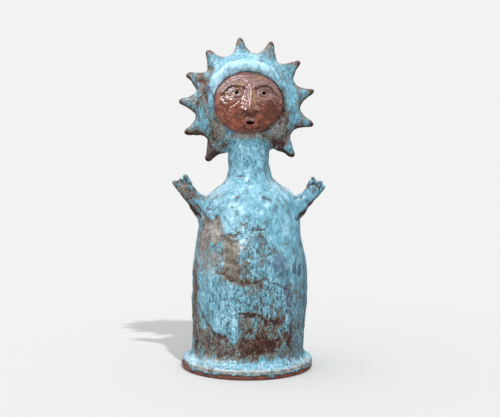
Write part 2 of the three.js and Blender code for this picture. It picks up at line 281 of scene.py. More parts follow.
print("the body's rings:", body()[0].shape[0] // BODY_SIDES)

# %% [markdown]
# ## Disc, rays and hood
#
# The head is a lens of clay, steeper in front than behind. Eleven rays were pinched out of coils and luted
# round its edge, broad at the root and hollow-sided, and each tip went its own way a little. A thick
# strip was then rolled round the top of the face as a hood. The lens is a stack of rings from front to
# back, and rays and hood are limbs.

# %% Disc, rays and hood
DISC_CENTRE = np.array([0.2, 0, 301])
DISC_RADIUS = 60.5
DISC_ROWS, DISC_SIDES = 46, 96
CHIN_DRAW = 0.1
LENS = [
    [0, -22.5, 32],
    [1, -20.8, 41],
    [2, -16, 50],
    [3, -9, 57.5],
    [4, -3, DISC_RADIUS],
    [5, 2, DISC_RADIUS - 0.5],
    [6, 8, 55.5],
    [7, 13, 46.5],
    [8, 17, 34],
    [9, 19.6, 18],
]
RAY_TURNS = [96.6, 67.9, 41.6, 11.8, -16, -46.2, 232, 203.9, 176.8, 151.6, 127.2]
RAY_TIP_RADIUS = 79
RAY_PATH_RADII = np.array([44, 58, 69, RAY_TIP_RADIUS])
RAY_DEPTH = -2.5
RAY_DRIFT = 2.2
RAY_HALF_WIDTHS = [[0, 14.5], [0.33, 12.8], [0.5, 9.3], [0.67, 6.4], [0.84, 4.8], [1, 3.5]]
RAY_HALF_DEPTHS = [[0, 9], [0.33, 7.4], [0.67, 4.9], [1, 3.2]]
FACE_CENTRE = np.array([1.1, 0, 305.4])
FACE_HALF_WIDTH = 38.5
FACE_HALF_HEIGHT = 34.3
HOOD_DEPTH = -19
HOOD_BENDS, HOOD_ROWS, HOOD_SIDES = 25, 90, 28
# Each row: degrees round the face, radius, half width, half depth.
HOOD_STATIONS = [
    [-22, 41.5, 1.6, 2],
    [5, 41.5, 2.2, 3],
    [32, 41, 3, 5],
    [60, 41.6, 5, 6.2],
    [100, 42.4, 6.4, 6.6],
    [138, 43.8, 6.4, 6.6],
    [163, 42.8, 4.8, 5.4],
    [184, 41.4, 2, 3],
]


def round_about(centre, radius, degrees, depth):
    """Points at these radii and turns round a centre, seen from the front, at this depth behind the axis."""
    turn = np.radians(degrees)
    return centre + np.stack([radius * np.cos(turn), depth + 0 * turn, radius * np.sin(turn)], -1)


def disc():
    """Rings from front to back: (radius * cos(turn), depth, -radius * sin(turn)), drawn in at the neck."""
    depth, radius = along(LENS, np.linspace(0, len(LENS) - 1, DISC_ROWS)).T[:, :, None]
    turn = np.linspace(0, 2 * np.pi, DISC_SIDES, endpoint=False)[None]
    reach = radius * (1 - CHIN_DRAW * np.maximum(0, np.sin(turn)) ** 4)
    return skin(DISC_CENTRE + np.stack([reach * np.cos(turn), depth + 0 * reach, -reach * np.sin(turn)], -1))


def ray(index):
    """A limb from inside the disc to the tip, bent aside by the cube of the way out."""
    degrees = RAY_TURNS[index]
    drift = RAY_DRIFT * math.sin(index * 2.3) * np.linspace(0, 1, len(RAY_PATH_RADII)) ** 3
    path = round_about(DISC_CENTRE, RAY_PATH_RADII, np.full(len(drift), degrees), RAY_DEPTH)
    aside = round_about(np.zeros(3), 1, np.full(len(drift), degrees + 90), 0)
    return limb(path + aside * drift[:, None], RAY_HALF_WIDTHS, RAY_HALF_DEPTHS)


def hood():
    """A limb round the top of the face, thickest over the left brow and tapered to both ends."""
    turn = np.linspace(HOOD_STATIONS[-1][0], HOOD_STATIONS[0][0], HOOD_BENDS)
    radius, half_width, half_depth = along(HOOD_STATIONS, turn).T
    path = round_about(FACE_CENTRE, radius, turn, HOOD_DEPTH)
    share = np.linspace(0, 1, len(turn))
    wide, deep = np.column_stack([share, half_width]), np.column_stack([share, half_depth])
    return limb(path, wide, deep, HOOD_ROWS, HOOD_SIDES)


rays = [ray(index) for index in range(len(RAY_TURNS))]
tallest = max(points[:, 2].max() for points, _, _ in rays)
print(len(rays), "rays; the tallest tip is at", round(tallest, 1), "mm")

# %% [markdown]
# ## Arms and hands
#
# Each arm is one tapered coil that flattens into a palm, with four short finger rolls pressed on the end.
# They are limbs too, and the fingers' spread is worked out from the palm's own direction, so that
# moving an arm takes its hand along.

# %% Arms and hands
LEFT_ARM = np.array([[-34, 0, 177], [-50, -2, 185.5], [-60, -5, 194.5], [-68.5, -8, 205], [-74.5, -10, 215]])
RIGHT_ARM = np.array([[37, 0, 177], [53, -2, 183.5], [64, -5, 192], [73.5, -8, 202.5], [79, -10, 212]])
ARM_HALF_WIDTHS = [[0, 16], [0.25, 14.5], [0.45, 11.2], [0.65, 9], [0.8, 8.6], [1, 9.4]]
ARM_HALF_DEPTHS = [[0, 16], [0.25, 13.5], [0.45, 10], [0.65, 7.6], [0.8, 6.2], [1, 4.8]]
LEFT_REACHES = [1, 0.9, 0.8, 1.1]
RIGHT_REACHES = [0.7, 1.1, 0.8, 1]
FINGER_RADIUS = 2.7
FINGER_SPREAD = 5
FINGER_ROOT = 8
FINGER_REACH = 6
FINGER_BEND = 1.8


def arm(path):
    """A limb from inside the shoulder to the end of the palm."""
    return limb(path, ARM_HALF_WIDTHS, ARM_HALF_DEPTHS, sides=36)


def fingers(path, reaches):
    """A short limb for each finger, side by side, from inside the palm to a tip bent to the front."""
    palm = path[-1]
    ahead = (palm - path[-2]) / np.linalg.norm(palm - path[-2])
    across = np.cross(FORWARD, ahead)
    rolls = []
    for k, reach in enumerate(reaches):
        place = (k - 1.5) * FINGER_SPREAD
        root = palm + 0.9 * place * across - FINGER_ROOT * ahead
        tip = palm + place * across + FINGER_REACH * reach * ahead + FINGER_BEND * FORWARD
        thick = [[0, FINGER_RADIUS], [0.5, FINGER_RADIUS], [1, 0.85 * FINGER_RADIUS]]
        rolls.append(limb(np.array([root, root + 0.6 * (tip - root), tip]), thick, thick, rows=24, sides=20))
    return rolls


arms = [arm(LEFT_ARM), arm(RIGHT_ARM)]
rolls = fingers(LEFT_ARM, LEFT_REACHES) + fingers(RIGHT_ARM, RIGHT_REACHES)
print("the fingers reach", round(max(float(points[:, 2].max()) for points, _, _ in rolls), 1), "mm up")

# %% [markdown]
# ## Luting the parts into one skin
#
# Wet clay parts are scored, pressed together and smoothed until no joint is left. A voxel remesh does the
# same: it lays one even skin over everything that overlaps. It leaves small steps and sharp inner corners,
# so two kinds of smoothing follow. One takes the steps out without shrinking thin tips, by a push out
# after each pull in, and the other only fills hollow corners, as a wet finger does.

# %% Fuse, then smooth
VOXEL = 1.65
PULLS = [0.5, -0.53] * 6
LUTING_STROKES = 14
STROKE_PULL = 0.6
HOLLOW_FROM, HOLLOW_TO = 0.02, 0.12


def read(items, field, width=3, kind=float):
    """A row of numbers for each item of one of the mesh's lists."""
    flat = np.empty(len(items) * width, kind)
    items.foreach_get(field, flat)
    return flat.reshape(-1, width)


def read_skin(mesh):
    """The mesh's vertices as millimetres, their outward directions, and the two ends of every edge."""
    normals = read(mesh.vertex_normals, "vector")
    return read(mesh.vertices, "co") / MM, normals, read(mesh.edges, "vertices", 2, int)


def write_points(mesh, points):
    """Puts the vertices, in millimetres, back into the mesh."""
    mesh.vertices.foreach_set("co", (points * MM).ravel())
    mesh.update()


def with_modifiers(thing):
    """Makes the object's modifiers part of its mesh."""
    finished = thing.evaluated_get(bpy.context.evaluated_depsgraph_get())
    mesh = bpy.data.meshes.new_from_object(finished)
    thing.modifiers.clear()
    thing.data = mesh
    return mesh


def neighbour_mean(values, edges, times=1):
    """At each vertex, the mean of the values at the other ends of its edges, taken this many times."""
    ends, others = np.concatenate([edges, edges[:, ::-1]]).T
    count = len(values)
    reached = np.bincount(ends, minlength=count)[:, None]
    for wipe in range(times):
        columns = values.reshape(count, -1).T
        total = [np.bincount(ends, column[others], count) for column in columns]
        values = (np.stack(total, -1) / reached).reshape(values.shape)
    return values


def bulge_of(points, normals, edges):
    """How convex the skin is at each vertex, as the sine of its rise over its neighbours: above 0 on an
    edge or a tip, and below 0 in a crease."""
    rise = points - neighbour_mean(points, edges)
    length = np.linalg.norm(points[edges[:, 0]] - points[edges[:, 1]], axis=1).mean()
    return (rise * normals).sum(1) / length


figure = piece("sun_figure_clay", together([body(), disc(), hood(), *rays, *arms]))
luting = figure.modifiers.new("luting", "REMESH")
luting.mode = "VOXEL"
luting.voxel_size = VOXEL * MM
mesh = with_modifiers(figure)
points, _, edges = read_skin(mesh)
for pull in PULLS:
    points += pull * (neighbour_mean(points, edges) - points)
for stroke in range(LUTING_STROKES):
    write_points(mesh, points)
    normals = read(mesh.vertex_normals, "vector")
    hollow = fade(-bulge_of(points, normals, edges), HOLLOW_FROM, HOLLOW_TO)
    hollow = neighbour_mean(hollow, edges)[:, None]
    points += STROKE_PULL * hollow * (neighbour_mean(points, edges) - points)
write_points(mesh, points)
print("the luted skin has", len(mesh.polygons), "faces")

# %% [markdown]
# ## The glaze coat
#
# The glaze is the figure's real subject. It was poured on thickly and it moved in the kiln: it ran off
# edges and tips, gathered above the slab, hung in lobes, and left thin brown patches behind. So the coat
# gets a thickness, from 0 for bare clay to 1 for the thickest pools, worked out at every vertex. The same
# number then lifts the skin here and picks the colour later, which keeps relief and colour in step.
#
# The main patches stand where they stand on the real figure's front. Each is an oval on the wall, in
# millimetres across and up, and its edge wanders and drips. The back has a few of the same kind.

# %% Patches, runs and lobes
# Each row: x, height, half width, half height, tilt in degrees, softness of the edge, change in thickness.
FRONT_PATCHES = [
    [-18, 172, 11, 13, 8, 0.3, 0.24],
    [0, 192, 30, 18, 0, 0.9, 0.03],
    # The next row thickens and pales the glaze at the upper left chest: a painted broad sheen.
    [-16, 210, 20, 9, 0, 0.9, 0.14],
    [43, 162, 13, 28, 0, 0.6, 0.06],
    [0, 240, 20, 24, 0, 0.8, 0.16],
    [78, 204, 12, 14, 0, 0.8, 0.24],
    [-41, 180, 4, 6, 0, 0.4, 0.24],
    [-39, 164, 12, 12, 6, 0.3, -0.30],
    [-34, 176, 2.2, 8, 6, 0.5, -0.30],
    [-51, 146, 4, 18, 0, 0.7, -0.34],
    [-16, 147, 12, 14, -8, 0.5, -0.25],
    [-33, 136, 11, 7, 16, 0.8, -0.16],
    [-17, 120, 9, 11, -12, 0.6, -0.26],
    [3, 108, 14, 4.5, -8, 0.7, -0.32],
    [8, 100, 7, 4, 0, 0.8, -0.12],
    [10, 120, 15, 10, 0, 0.8, -0.04],
    [28, 110, 7, 6, 0, 0.6, 0.16],
    [-59.5, 84, 3, 34, -1, 0.6, -0.44],
    [-58.5, 42, 2.6, 16, 2, 0.6, -0.34],
    [-52, 54, 7, 19, 22, 0.6, -0.28],
    [-45, 34, 12, 12, 0, 0.8, -0.24],
    [-32, 46, 5, 3, -20, 0.6, -0.36],
    [-32, 32, 17, 11, 0, 0.8, -0.26],
    [-20, 25, 12, 6, 0, 0.8, -0.12],
    [4, 71, 13, 3, 0, 0.6, -0.26],
    [26, 63, 11, 4, 0, 0.6, -0.30],
    [14, 50, 25, 21, 0, 0.8, -0.34],
    [12, 37, 24, 7, -2, 0.6, -0.32],
    [14, 27, 34, 7, 0, 0.8, -0.16],
    [52, 38, 11, 20, 6, 0.8, -0.17],
    [44, 43, 6, 6, 0, 0.8, -0.26],
    [2, 47, 4, 3, 0, 0.6, 0.30],
    [-14, 55, 5, 11, 8, 0.7, 0.20],
    [26, 60, 4, 4, 10, 0.7, 0.24],
    [47, 87, 8, 13, 0, 0.9, -0.17],
    [-31, 60, 7, 14, 8, 0.5, 0.14],
    [-30, 86, 26, 24, 0, 0.9, 0.13],
    [14, 140, 16, 22, 0, 0.9, 0.05],
    [-62, 150, 3, 16, 0, 0.8, 0.06],
    [-72, 202, 15, 17, 0, 0.8, -0.42],
    [-60, 182, 6, 6, 40, 0.8, -0.20],
    [-46, 258, 17, 12, -35, 0.7, -0.34],
    [-34, 276, 8, 16, 30, 0.8, -0.30],
    [-48, 316, 5.5, 17, 0, 0.6, -0.32],
    [-54, 331, 7, 3.5, -35, 0.6, -0.26],
    [-61, 307, 7, 4.5, 0, 0.6, -0.24],
    [-41, 342, 3, 5, 0, 0.6, -0.24],
    [-58, 318, 5, 6, 0, 0.8, 0.10],
    [-46, 290, 7, 14, 0, 0.8, 0.06],
    [36, 270, 12, 12, 30, 0.7, -0.30],
    [32, 258, 12, 5, -30, 0.7, -0.36],
    [43, 288, 5, 8, 0, 0.7, -0.22],
    [-8, 356, 30, 7, 0, 0.9, 0.12],
    [2, 268, 20, 2.6, 0, 0.7, -0.26],
    [46, 252, 5, 5, -30, 0.6, 0.26],
    [51, 304, 11, 30, 0, 0.9, -0.02],
]
# Each row: change in thickness, width, then the points of the line.
FRONT_LINES = [
    [-0.5, 1.1, (-34, 119), (-26, 116), (-19, 112), (-12, 109.5), (-5, 107.5), (4, 108), (11, 110)],
    [-0.4, 0.9, (11, 111), (20, 110), (31, 106.5), (36, 104), (42, 98.5)],
    [-0.5, 1.1, (-29, 158), (-20, 160), (-13, 159.5), (-8, 163)],
    [-0.4, 0.8, (2, 167), (10, 165.5), (19, 166)],
    [-0.4, 1.2, (-58, 190), (-50, 181), (-44, 174), (-40, 172)],
    [-0.4, 1.2, (-55, 80), (-50, 67), (-43, 56), (-36, 48), (-30, 44), (-24, 48)],
    [-0.4, 1.2, (-8, 74), (2, 73), (16, 71), (20, 65), (36, 63)],
    [-0.35, 1.2, (41, 290), (42, 304), (38, 316)],
    [-0.16, 0.8, (2, 245), (1, 230), (2, 216)],
    [-0.3, 1, (-19, 254), (-20, 244), (-19, 234)],
    [-0.5, 2.4, (58, 174), (69, 184), (79, 194), (86, 206)],
    [-0.5, 2.4, (-54, 176), (-66, 187), (-75, 198), (-82, 209)],
    [0.34, 1.5, (19, 78), (19, 63)],
    [0.3, 1.2, (24, 77), (24, 68)],
    [0.34, 1.5, (30, 76), (30, 65)],
    [0.2, 1.8, (-15, 74), (-15, 58), (-14, 42)],
    [0.3, 1.6, (-26, 150), (-27, 128)],
    [0.3, 2.2, (44, 77), (44, 64), (44, 52)],
    [0.3, 2, (-53, 80), (-52, 62), (-50, 52)],
]
BACK_PATCHES = [
    [-22, 150, 20, 26, 12, 0.8, -0.26],
    [30, 96, 26, 15, -16, 0.7, -0.32],
    [-20, 44, 34, 22, -4, 0.7, -0.34],
    [44, 38, 9, 14, 0, 0.7, -0.26],
    [6, 300, 30, 22, 20, 0.9, -0.22],
    [12, 190, 16, 12, 0, 0.4, 0.12],
    [-46, 84, 5, 34, 4, 0.7, -0.26],
    [6, 60, 3, 20, 0, 0.4, 0.3],
]


COAT_LUMPS = [[0.05, 22, 51], [0.05, 6, 52, (1, 1, 3)], [0.04, 4, 53, (1, 1, 2)]]
EVEN_COAT = 0.58
THINNEST_GLAZE = 0.12
CHEST_LUMPS, CHEST_HEIGHT, CHEST_SPREAD = 0.1, 203, 22
LINE_WANDER = 0.9
EDGE_LOSS, ARM_LOSS = 0.3, 0.5
RAY_LOSS, RAY_SIDE_LOSS, RAY_UNDER_LOSS = 0.09, 0.36, 0.3
HOOD_FILL = 0.88
# The thinned ring round the face is partly painted shade in the gap between face, hood and disc.
RIM_RING, RIM_RING_UNDER_HOOD = 1.7, 0.8
RIM_LOSS_AND_SHADE, RIM_LOSS_AND_SHADE_UNDER_HOOD = 0.5, 0.25


def facing(points):
    """1 on the front of the figure, 0 on its back, and a soft step between them."""
    return fade(-points[:, 1], -4, 12)


def ovals(points, rows):
    """The sum of the rows' ovals, seen from the front, each times its last number. An oval is 1 inside and
    0 outside, with an edge that wanders and drips: the distance from its middle, in ovals, plus lumps that
    are drawn out downwards."""
    broad, narrow = lumps(points, 9, 31, (1, 1, 2)), lumps(points, 3.4, 32, (1, 1, 1.7))
    total = np.zeros(len(points))
    for x, height, half_width, half_height, tilt, softness, strength in rows:
        turn = math.radians(tilt)
        right, up = points[:, 0] - x, points[:, 2] - height
        u = right * math.cos(turn) + up * math.sin(turn)
        v = up * math.cos(turn) - right * math.sin(turn)
        wander = min(0.35, 1.6 / min(half_width, half_height))
        away = np.hypot(u / half_width, v / half_height) + (0.22 * broad + wander * narrow)
        total += strength * (1 - fade(away, 1 - softness, 1 + softness))
    return total


def near_line(u, w, path, width):
    """1 on the smooth line through the path's points, and less beside it: a bump of the distance to the
    nearest of the short straight pieces that make up the line."""
    line = along(np.column_stack([np.arange(len(path)), path]), np.linspace(0, len(path) - 1, 7 * len(path)))
    step = np.diff(line, axis=0)
    away = np.stack([u, w], -1)[:, None] - line[:-1]
    share = np.clip((away * step).sum(-1) / (step**2).sum(-1), 0, 1)
    return bump(np.linalg.norm(away - share[..., None] * step, axis=-1).min(1), width)


def glaze_line(points):
    """The height where the glaze stops above the foot: a wandering line with a few low drips."""
    flat = points * [1, 1, 0]
    drips = 2.4 * fade(lumps(flat, 11, 43), 0.6, 1.1)
    left_end = 4.5 * fade(-points[:, 0], 58, 74) * fade(-points[:, 1], 0, 20)
    return 4.5 + left_end + 0.9 * lumps(flat, 16, 41) + 0.5 * lumps(flat, 5, 42) - drips


def on_ray(points):
    """How far out from the disc's edge a point on a ray lies, from 0 at the root to 1 at the tip."""
    from_disc = points - DISC_CENTRE
    off_neck = fade(points[:, 2] + 0.6 * np.abs(points[:, 0]), 256, 266)
    return off_neck * fade(np.hypot(from_disc[:, 0], from_disc[:, 2]), 54, RAY_TIP_RADIUS)


def run_off(points, normals, bulge):
    """What the skin lost: some on every sharp edge, more on the rays' sides and tips, and under the arms."""
    height = points[:, 2]
    lost = EDGE_LOSS * neighbour_mean(fade(bulge, 0.03, 0.13), edges) * fade(height, 20, 150)
    side_on = 1 - fade(np.abs(normals[:, 1]), 0.35, 0.85)
    under = fade(-normals[:, 2], 0.1, 0.6)
    lost += fade(on_ray(points), 0.02, 0.3) * (RAY_LOSS + RAY_SIDE_LOSS * side_on + RAY_UNDER_LOSS * under)
    on_arm = fade(np.abs(points[:, 0]), 54, 62) * bump(height - 195, 24)
    return lost + ARM_LOSS * on_arm * fade(-normals[:, 2], 0.3, 0.75)


def round_the_face(points, thickness):
    """The coat filled up along the hood, and thinned in a ring outside the face's rim: both follow the turn
    round the face's middle, in degrees. The thinned ring is partly glaze gone thin at the join and partly
    painted shade, a dark line in the gap round the face."""
    across, _, up = (points - FACE_CENTRE).T
    turn = np.degrees(np.arctan2(up, across))
    turn = np.where(turn < -90, turn + 360, turn)
    hood_radius, hood_half_width, _ = along(HOOD_STATIONS, turn).T
    off_hood = np.abs(np.hypot(across, up) - hood_radius) / hood_half_width
    on_hood = (1 - fade(off_hood, 0.7, 1.6)) * fade(turn, 16, 34) * (1 - fade(turn, 178, 188))
    filled = thickness + (1 - thickness) * HOOD_FILL * on_hood * fade(-points[:, 1], 16, 20)
    from_rim = FACE_HALF_WIDTH * (np.hypot(across / FACE_HALF_WIDTH, up / FACE_HALF_HEIGHT) - 1)
    under_hood = fade(turn, -20, 30)
    ring = RIM_RING + (RIM_RING_UNDER_HOOD - RIM_RING) * under_hood
    lost = RIM_LOSS_AND_SHADE + (RIM_LOSS_AND_SHADE_UNDER_HOOD - RIM_LOSS_AND_SHADE) * under_hood
    return filled - lost * bump(from_rim - 0.6 * ring, ring) * fade(-points[:, 1], 14, 18)


def coat(points, normals, bulge):
    """The glaze's thickness: an even coat, plus slow and running lumps, the patches and the lines, less what
    ran off, with a roll of glaze at the slab's edge and nothing at all below the glaze line."""
    height, front = points[:, 2], facing(points)
    thickness = EVEN_COAT + rough(points, COAT_LUMPS)
    thickness += CHEST_LUMPS * lumps(points, 5, 54) * bump(height - CHEST_HEIGHT, CHEST_SPREAD)
    thickness += front * ovals(points, FRONT_PATCHES) + (1 - front) * ovals(points, BACK_PATCHES)
    drawn = points + LINE_WANDER * np.stack([lumps(points, 5, 33 + axis) for axis in range(3)], -1)
    for change, width, *path in FRONT_LINES:
        thickness += change * front * near_line(drawn[:, 0], drawn[:, 2], path, width)
    thickness = round_the_face(points, thickness - run_off(points, normals, bulge))
    thickness += 0.2 * bump(height - 13, 4.5) - 0.3 * bump(height - 8.6, 1.4)
    return np.clip(thickness, THINNEST_GLAZE, 1) * fade(height - glaze_line(points), -0.4, 0.7)


points, normals, edges = read_skin(mesh)
thickness = coat(points, normals, neighbour_mean(bulge_of(points, normals, edges), edges, 3))
bare_share = float((thickness < 0.1).mean())
print("mean coat", round(float(thickness.mean()), 2), "and bare share", round(bare_share, 3))

# %% [markdown]
# ## Relief of the coat and the wall
#
# Where the coat is thick the skin stands about a millimetre prouder, which gives the lobes ledges. The
# wall under it keeps the maker's lumps and a few dents at the neck and shoulders. Moving each vertex
# along its outward direction is enough for both, because nothing here overhangs.

# %% Lift the coat
COAT_RELIEF = 1.5
MEAN_COAT = 0.6
WALL_LUMPS = [[0.45, 20, 61], [0.34, 9, 62], [0.2, 4, 63]]
SHOULDER_LUMPS, SHOULDER_HEIGHT, SHOULDER_SPREAD = 0.35, 200, 26
# Each row: x, height, half width, half height, depth, all in millimetres on the front.
DENTS = [
    [-7.5, 221.5, 4.5, 2, 1.5],
    [19, 201, 4.5, 3.2, 1.8],
    [-20, 205, 6, 3, 0.9],
    [-5, 200, 5, 3, 0.9],
    [8, 188, 5, 4, 0.8],
    [-12, 196, 7, 3, -0.8],
    [40, 196, 3, 8, 0.8],
    [-53, 187, 3, 4, 1.0],
    [-48, 178, 4, 3, 1.1],
]


def wall_relief(points):
    """Lumps of several sizes, less the dents."""
    at_shoulders = bump(points[:, 2] - SHOULDER_HEIGHT, SHOULDER_SPREAD)
    relief = rough(points, WALL_LUMPS) + SHOULDER_LUMPS * at_shoulders * lumps(points, 7, 64)
    front = fade(-points[:, 1], 0, 15)
    for x, height, half_width, half_height, depth in DENTS:
        print_mark = bump(points[:, 0] - x, half_width) * bump(points[:, 2] - height, half_height)
        relief -= depth * front * print_mark
    return relief * fade(points[:, 2], 1, 16)


soft_coat = neighbour_mean(thickness, edges)
lift = COAT_RELIEF * (soft_coat - MEAN_COAT) * fade(points[:, 2], 1, 5) + wall_relief(points)
lifted = points + lift[:, None] * normals
lifted[:, 2] = np.maximum(lifted[:, 2], 0)
write_points(mesh, lifted)
print("the coat lifts the skin by", np.round([lift.min(), lift.max()], 2), "mm")

# %% [markdown]
# ## The face
#
# The face is a dome of clay pressed on under the hood. Its maker added threads for the lids and lips,
# pulled the nose and brows, and cut creases with a tool. It could be sculpted, but here its relief is a
# sum: a dome, a few soft bumps for the bones, and lines of clay that are added or cut along short paths.
# Places are millimetres across and up from the face's middle.

# %% Bones of the face
FACE_RIM_DEPTH = -22.5
FACE_TILT = 2.5
FACE_WALL = 2.5
FACE_DOME = 11
FACE_SEAT = 6
FACE_MIDDLE = 2.5
BROW_HEIGHT = 19
NOSE_BASE = -10.5
EYES = [(-12.6, 11.7), (17.7, 10.7)]
MOUTH = (2.4, -21.8)
NOSE_CUT, NOSE_CUT_SOFTNESS = 0.4, 0.8
# Each one: rise, across, up, half width, half height. Eyeball and socket are placed by their eye.
CHEEK = [2, 21, 2.5, 8, 6]
NOSTRIL_WING = [2.2, 6.6, NOSE_BASE + 2.6, 3, 3.6]
LIPS = [1.8, 0, MOUTH[1], 10, 6.5]
CHIN = [1.2, 0, -31, 8, 3.5]
SOCKET_RISE, SOCKET_HALF_WIDTH, SOCKET_HALF_HEIGHT = -2.3, 8.5, 5.2
EYEBALL_RISE, EYEBALL_HALF_WIDTH, EYEBALL_HALF_HEIGHT = 1.5, 4.8, 3.6


def mound(u, w, rise, across, up, half_width, half_height):
    """A soft mound: rise * bump(u - across, half width) * bump(w - up, half height)."""
    return rise * bump(u - across, half_width) * bump(w - up, half_height)


def bones(u, w):
    """Soft bumps for brows, sockets, eyeballs, cheeks, lips and chin, and a nose that widens downwards:
    a bump across whose width and height grow with the way down from the brows, cut off under the tip."""
    across = u - FACE_MIDDLE
    side = np.abs(across)
    height = mound(side, w, *CHEEK)
    for eye in EYES:
        height += mound(u, w, SOCKET_RISE, *eye, SOCKET_HALF_WIDTH, SOCKET_HALF_HEIGHT)
        height += mound(u, w, EYEBALL_RISE, *eye, EYEBALL_HALF_WIDTH, EYEBALL_HALF_HEIGHT)
    down = np.clip((BROW_HEIGHT - w) / (BROW_HEIGHT - NOSE_BASE), 0, 1.15)
    under_nose = 1 / (1 + np.exp((NOSE_BASE + NOSE_CUT - w) / NOSE_CUT_SOFTNESS))
    nose = (1.2 + 5.4 * down) * bump(across, 3 + 2.8 * down) * bump(np.maximum(0, w - 15), 5)
    height += (nose + mound(side, w, *NOSTRIL_WING)) * under_nose
    return height + mound(across, w, *LIPS) + mound(across, w, *CHIN)


nose_tip = bones(np.array([FACE_MIDDLE]), np.array([-7.0]))
print("the nose stands", round(float(nose_tip[0]), 1), "mm above the dome")

# %% Threads, creases and tool marks
# Each row: height, width, then the points of the line.
FACE_LINES = [
    [1.4, 2.2, (-28.5, 11), (-25, 16), (-18.5, 19.7), (-11.5, 20.7), (-5.5, 18.6)],
    [1.4, 2.3, (7.8, 18.2), (12.5, 20.8), (19.5, 20.9), (26, 17), (30.2, 11)],
    [1.3, 0.9, (-20.5, 9.2), (-17.5, 13.3), (-13, 15.8), (-8.4, 14.9), (-6.2, 11.6)],
    [1.0, 0.8, (-20.5, 9.2), (-15.5, 7.8), (-11.2, 7.4), (-7.8, 8.6), (-6.2, 11.6)],
    [-1.2, 0.8, (-27, 9), (-22.5, 14.6), (-15, 18), (-7.6, 17.2)],
    [-0.7, 0.6, (-29.5, 7.5), (-26, 9), (-22, 9.8)],
    [-0.5, 0.6, (-28.5, 1.6), (-24, 0.6), (-20.6, 1.4)],
    [-0.6, 0.6, (28, 12), (31, 9), (32.5, 5)],
    [-0.6, 0.6, (27, 5.4), (30, 2.6), (31.4, -1)],
    [-0.5, 0.8, (-14, 5.4), (-10, 5), (-7.5, 6.4)],
    [-1.1, 0.8, (10.6, 14.6), (15.5, 17.6), (21.5, 17.4), (26.4, 13.6), (28.4, 9)],
    [0.8, 0.7, (10.4, 5.8), (15.5, 3.4), (21.5, 3), (27.5, 6.4)],
    [-0.5, 1.6, (-3.4, 15), (-5.4, 8), (-8.2, 0.5)],
    [-0.5, 1.6, (6.4, 15), (9.6, 8), (12.4, 0.5)],
    [0.7, 0.9, (0.6, 17.5), (0.2, 12), (-1.8, 4), (-3.4, -1.5)],
    [0.6, 0.8, (3.4, 17.5), (4.6, 11), (6.4, 4), (7.4, -2)],
    [-0.5, 0.7, (2.2, 16), (2.2, 10), (2.4, 4)],
    [-0.6, 0.8, (-7.4, -2.2), (-9.8, -5.6), (-8.4, -9.4)],
    [-0.6, 0.8, (12, -2.2), (14.4, -5.6), (13, -9.4)],
    [-0.8, 0.7, (-10.6, 2.6), (-15, -1), (-20.4, -4)],
    [0.15, 1.4, (-9.4, 4.6), (-14, 1.6), (-19.4, -1)],
    [0.6, 0.9, (10.4, 1.4), (13.6, -1.8), (18, -3)],
    [0.5, 0.8, (13, 2.6), (17, 0.4), (21.6, -0.6)],
    [-0.5, 0.7, (1, 16.5), (0.2, 20), (0.8, 24)],
    [-0.5, 0.7, (4.6, 16.5), (5.6, 20), (5.2, 24)],
    [-0.8, 0.9, (-25.5, 20.5), (-18, 24.6), (-8.4, 24.8), (-2, 23)],
    [-0.6, 0.9, (-20, 26.5), (-9, 29), (3, 27.6), (14, 28.8), (21, 25.4)],
    [-0.5, 0.8, (-12, 31.6), (1, 32.4), (13, 31)],
    [-0.7, 0.8, (9, 24), (17, 25.2), (25, 21.4)],
    [0.4, 1.5, (-4.6, -22.6), (-2, -19.8), (2.4, -19), (6.8, -19.6), (9.6, -22.4)],
    [0.5, 1.5, (-4.6, -22.6), (-2, -25.6), (2.6, -26.4), (7, -25.6), (9.6, -22.4)],
    [-0.5, 1.1, (2.4, -13), (2.4, -17)],
    [-0.8, 1.1, (-8.4, -27), (2.4, -30.2), (12.4, -27.4)],
    [-0.3, 0.9, (-30, -8), (-27, -13.5), (-22, -17)],
    [-0.5, 0.8, (-17, -24), (-8, -30.6), (1, -32.6)],
    [-0.6, 0.8, (30, 0), (30.6, -7), (27, -14)],
    # The three threads below also carry painted glints: the worn colour lights them on the lower face.
    [0.6, 0.7, (14, -26), (19, -23), (25, -22.6)],
    [0.7, 0.8, (-29, -17), (-23, -24.5), (-14, -29.8)],
    [0.6, 0.8, (16, -29), (23, -24), (28, -17)],
]
# Each row: across, up, radius, height.
FACE_DABS = [
    [-4.6, -10.2, 1.3, -1.7],
    [9.4, -10.2, 1.3, -1.7],
    [5.2, -20.6, 1.3, 0.8],
    [-6.6, -22.6, 1.2, -0.8],
    [11.6, -22.2, 1.2, -0.8],
    [21.8, -21, 1.1, -0.9],
    [24.6, -24, 1.3, -1.0],
    [20.6, -26.4, 1.1, -0.9],
    [26.6, -19.4, 0.9, -0.7],
    [23.6, -28, 1.0, 0.8],
    [-15.6, -21.4, 1.0, 0.8],
    [-20.5, -9.5, 0.9, 0.6],
    [-24, -12.4, 1.0, 0.7],
    [-17.6, -16.6, 0.8, 0.5],
    [-11.6, -20.2, 0.8, 0.6],
    [15.4, -17.6, 0.8, 0.5],
    [-13.2, -24.6, 1.2, -0.7],
    [-9.6, -16.4, 1.4, 0.5],
    [-23, 24.4, 3.6, 0.8],
    [-30, 1.6, 2.6, 0.5],
    [14, 14, 0.9, -0.6],
    [24.6, 9.8, 1.0, -0.7],
]


# Each row: height, middle, half width, half height, width of the thread or crease.
EYE_RINGS = [
    [0.5, EYES[1], 3.8, 3.3, 0.6],
    [0.6, (18.4, 10.4), 6.6, 5, 0.7],
    [-0.7, (18, 10.5), 5.1, 4.1, 0.6],
    [0.3, EYES[0], 3.4, 3.1, 0.6],
]
BROW_LINES = FACE_LINES[:2]
FACE_LUMPS = [[0.18, 5, 71], [0.08, 1.8, 72]]
HATCH_HEIGHT, HATCH_RATE = 0.4, 2.6


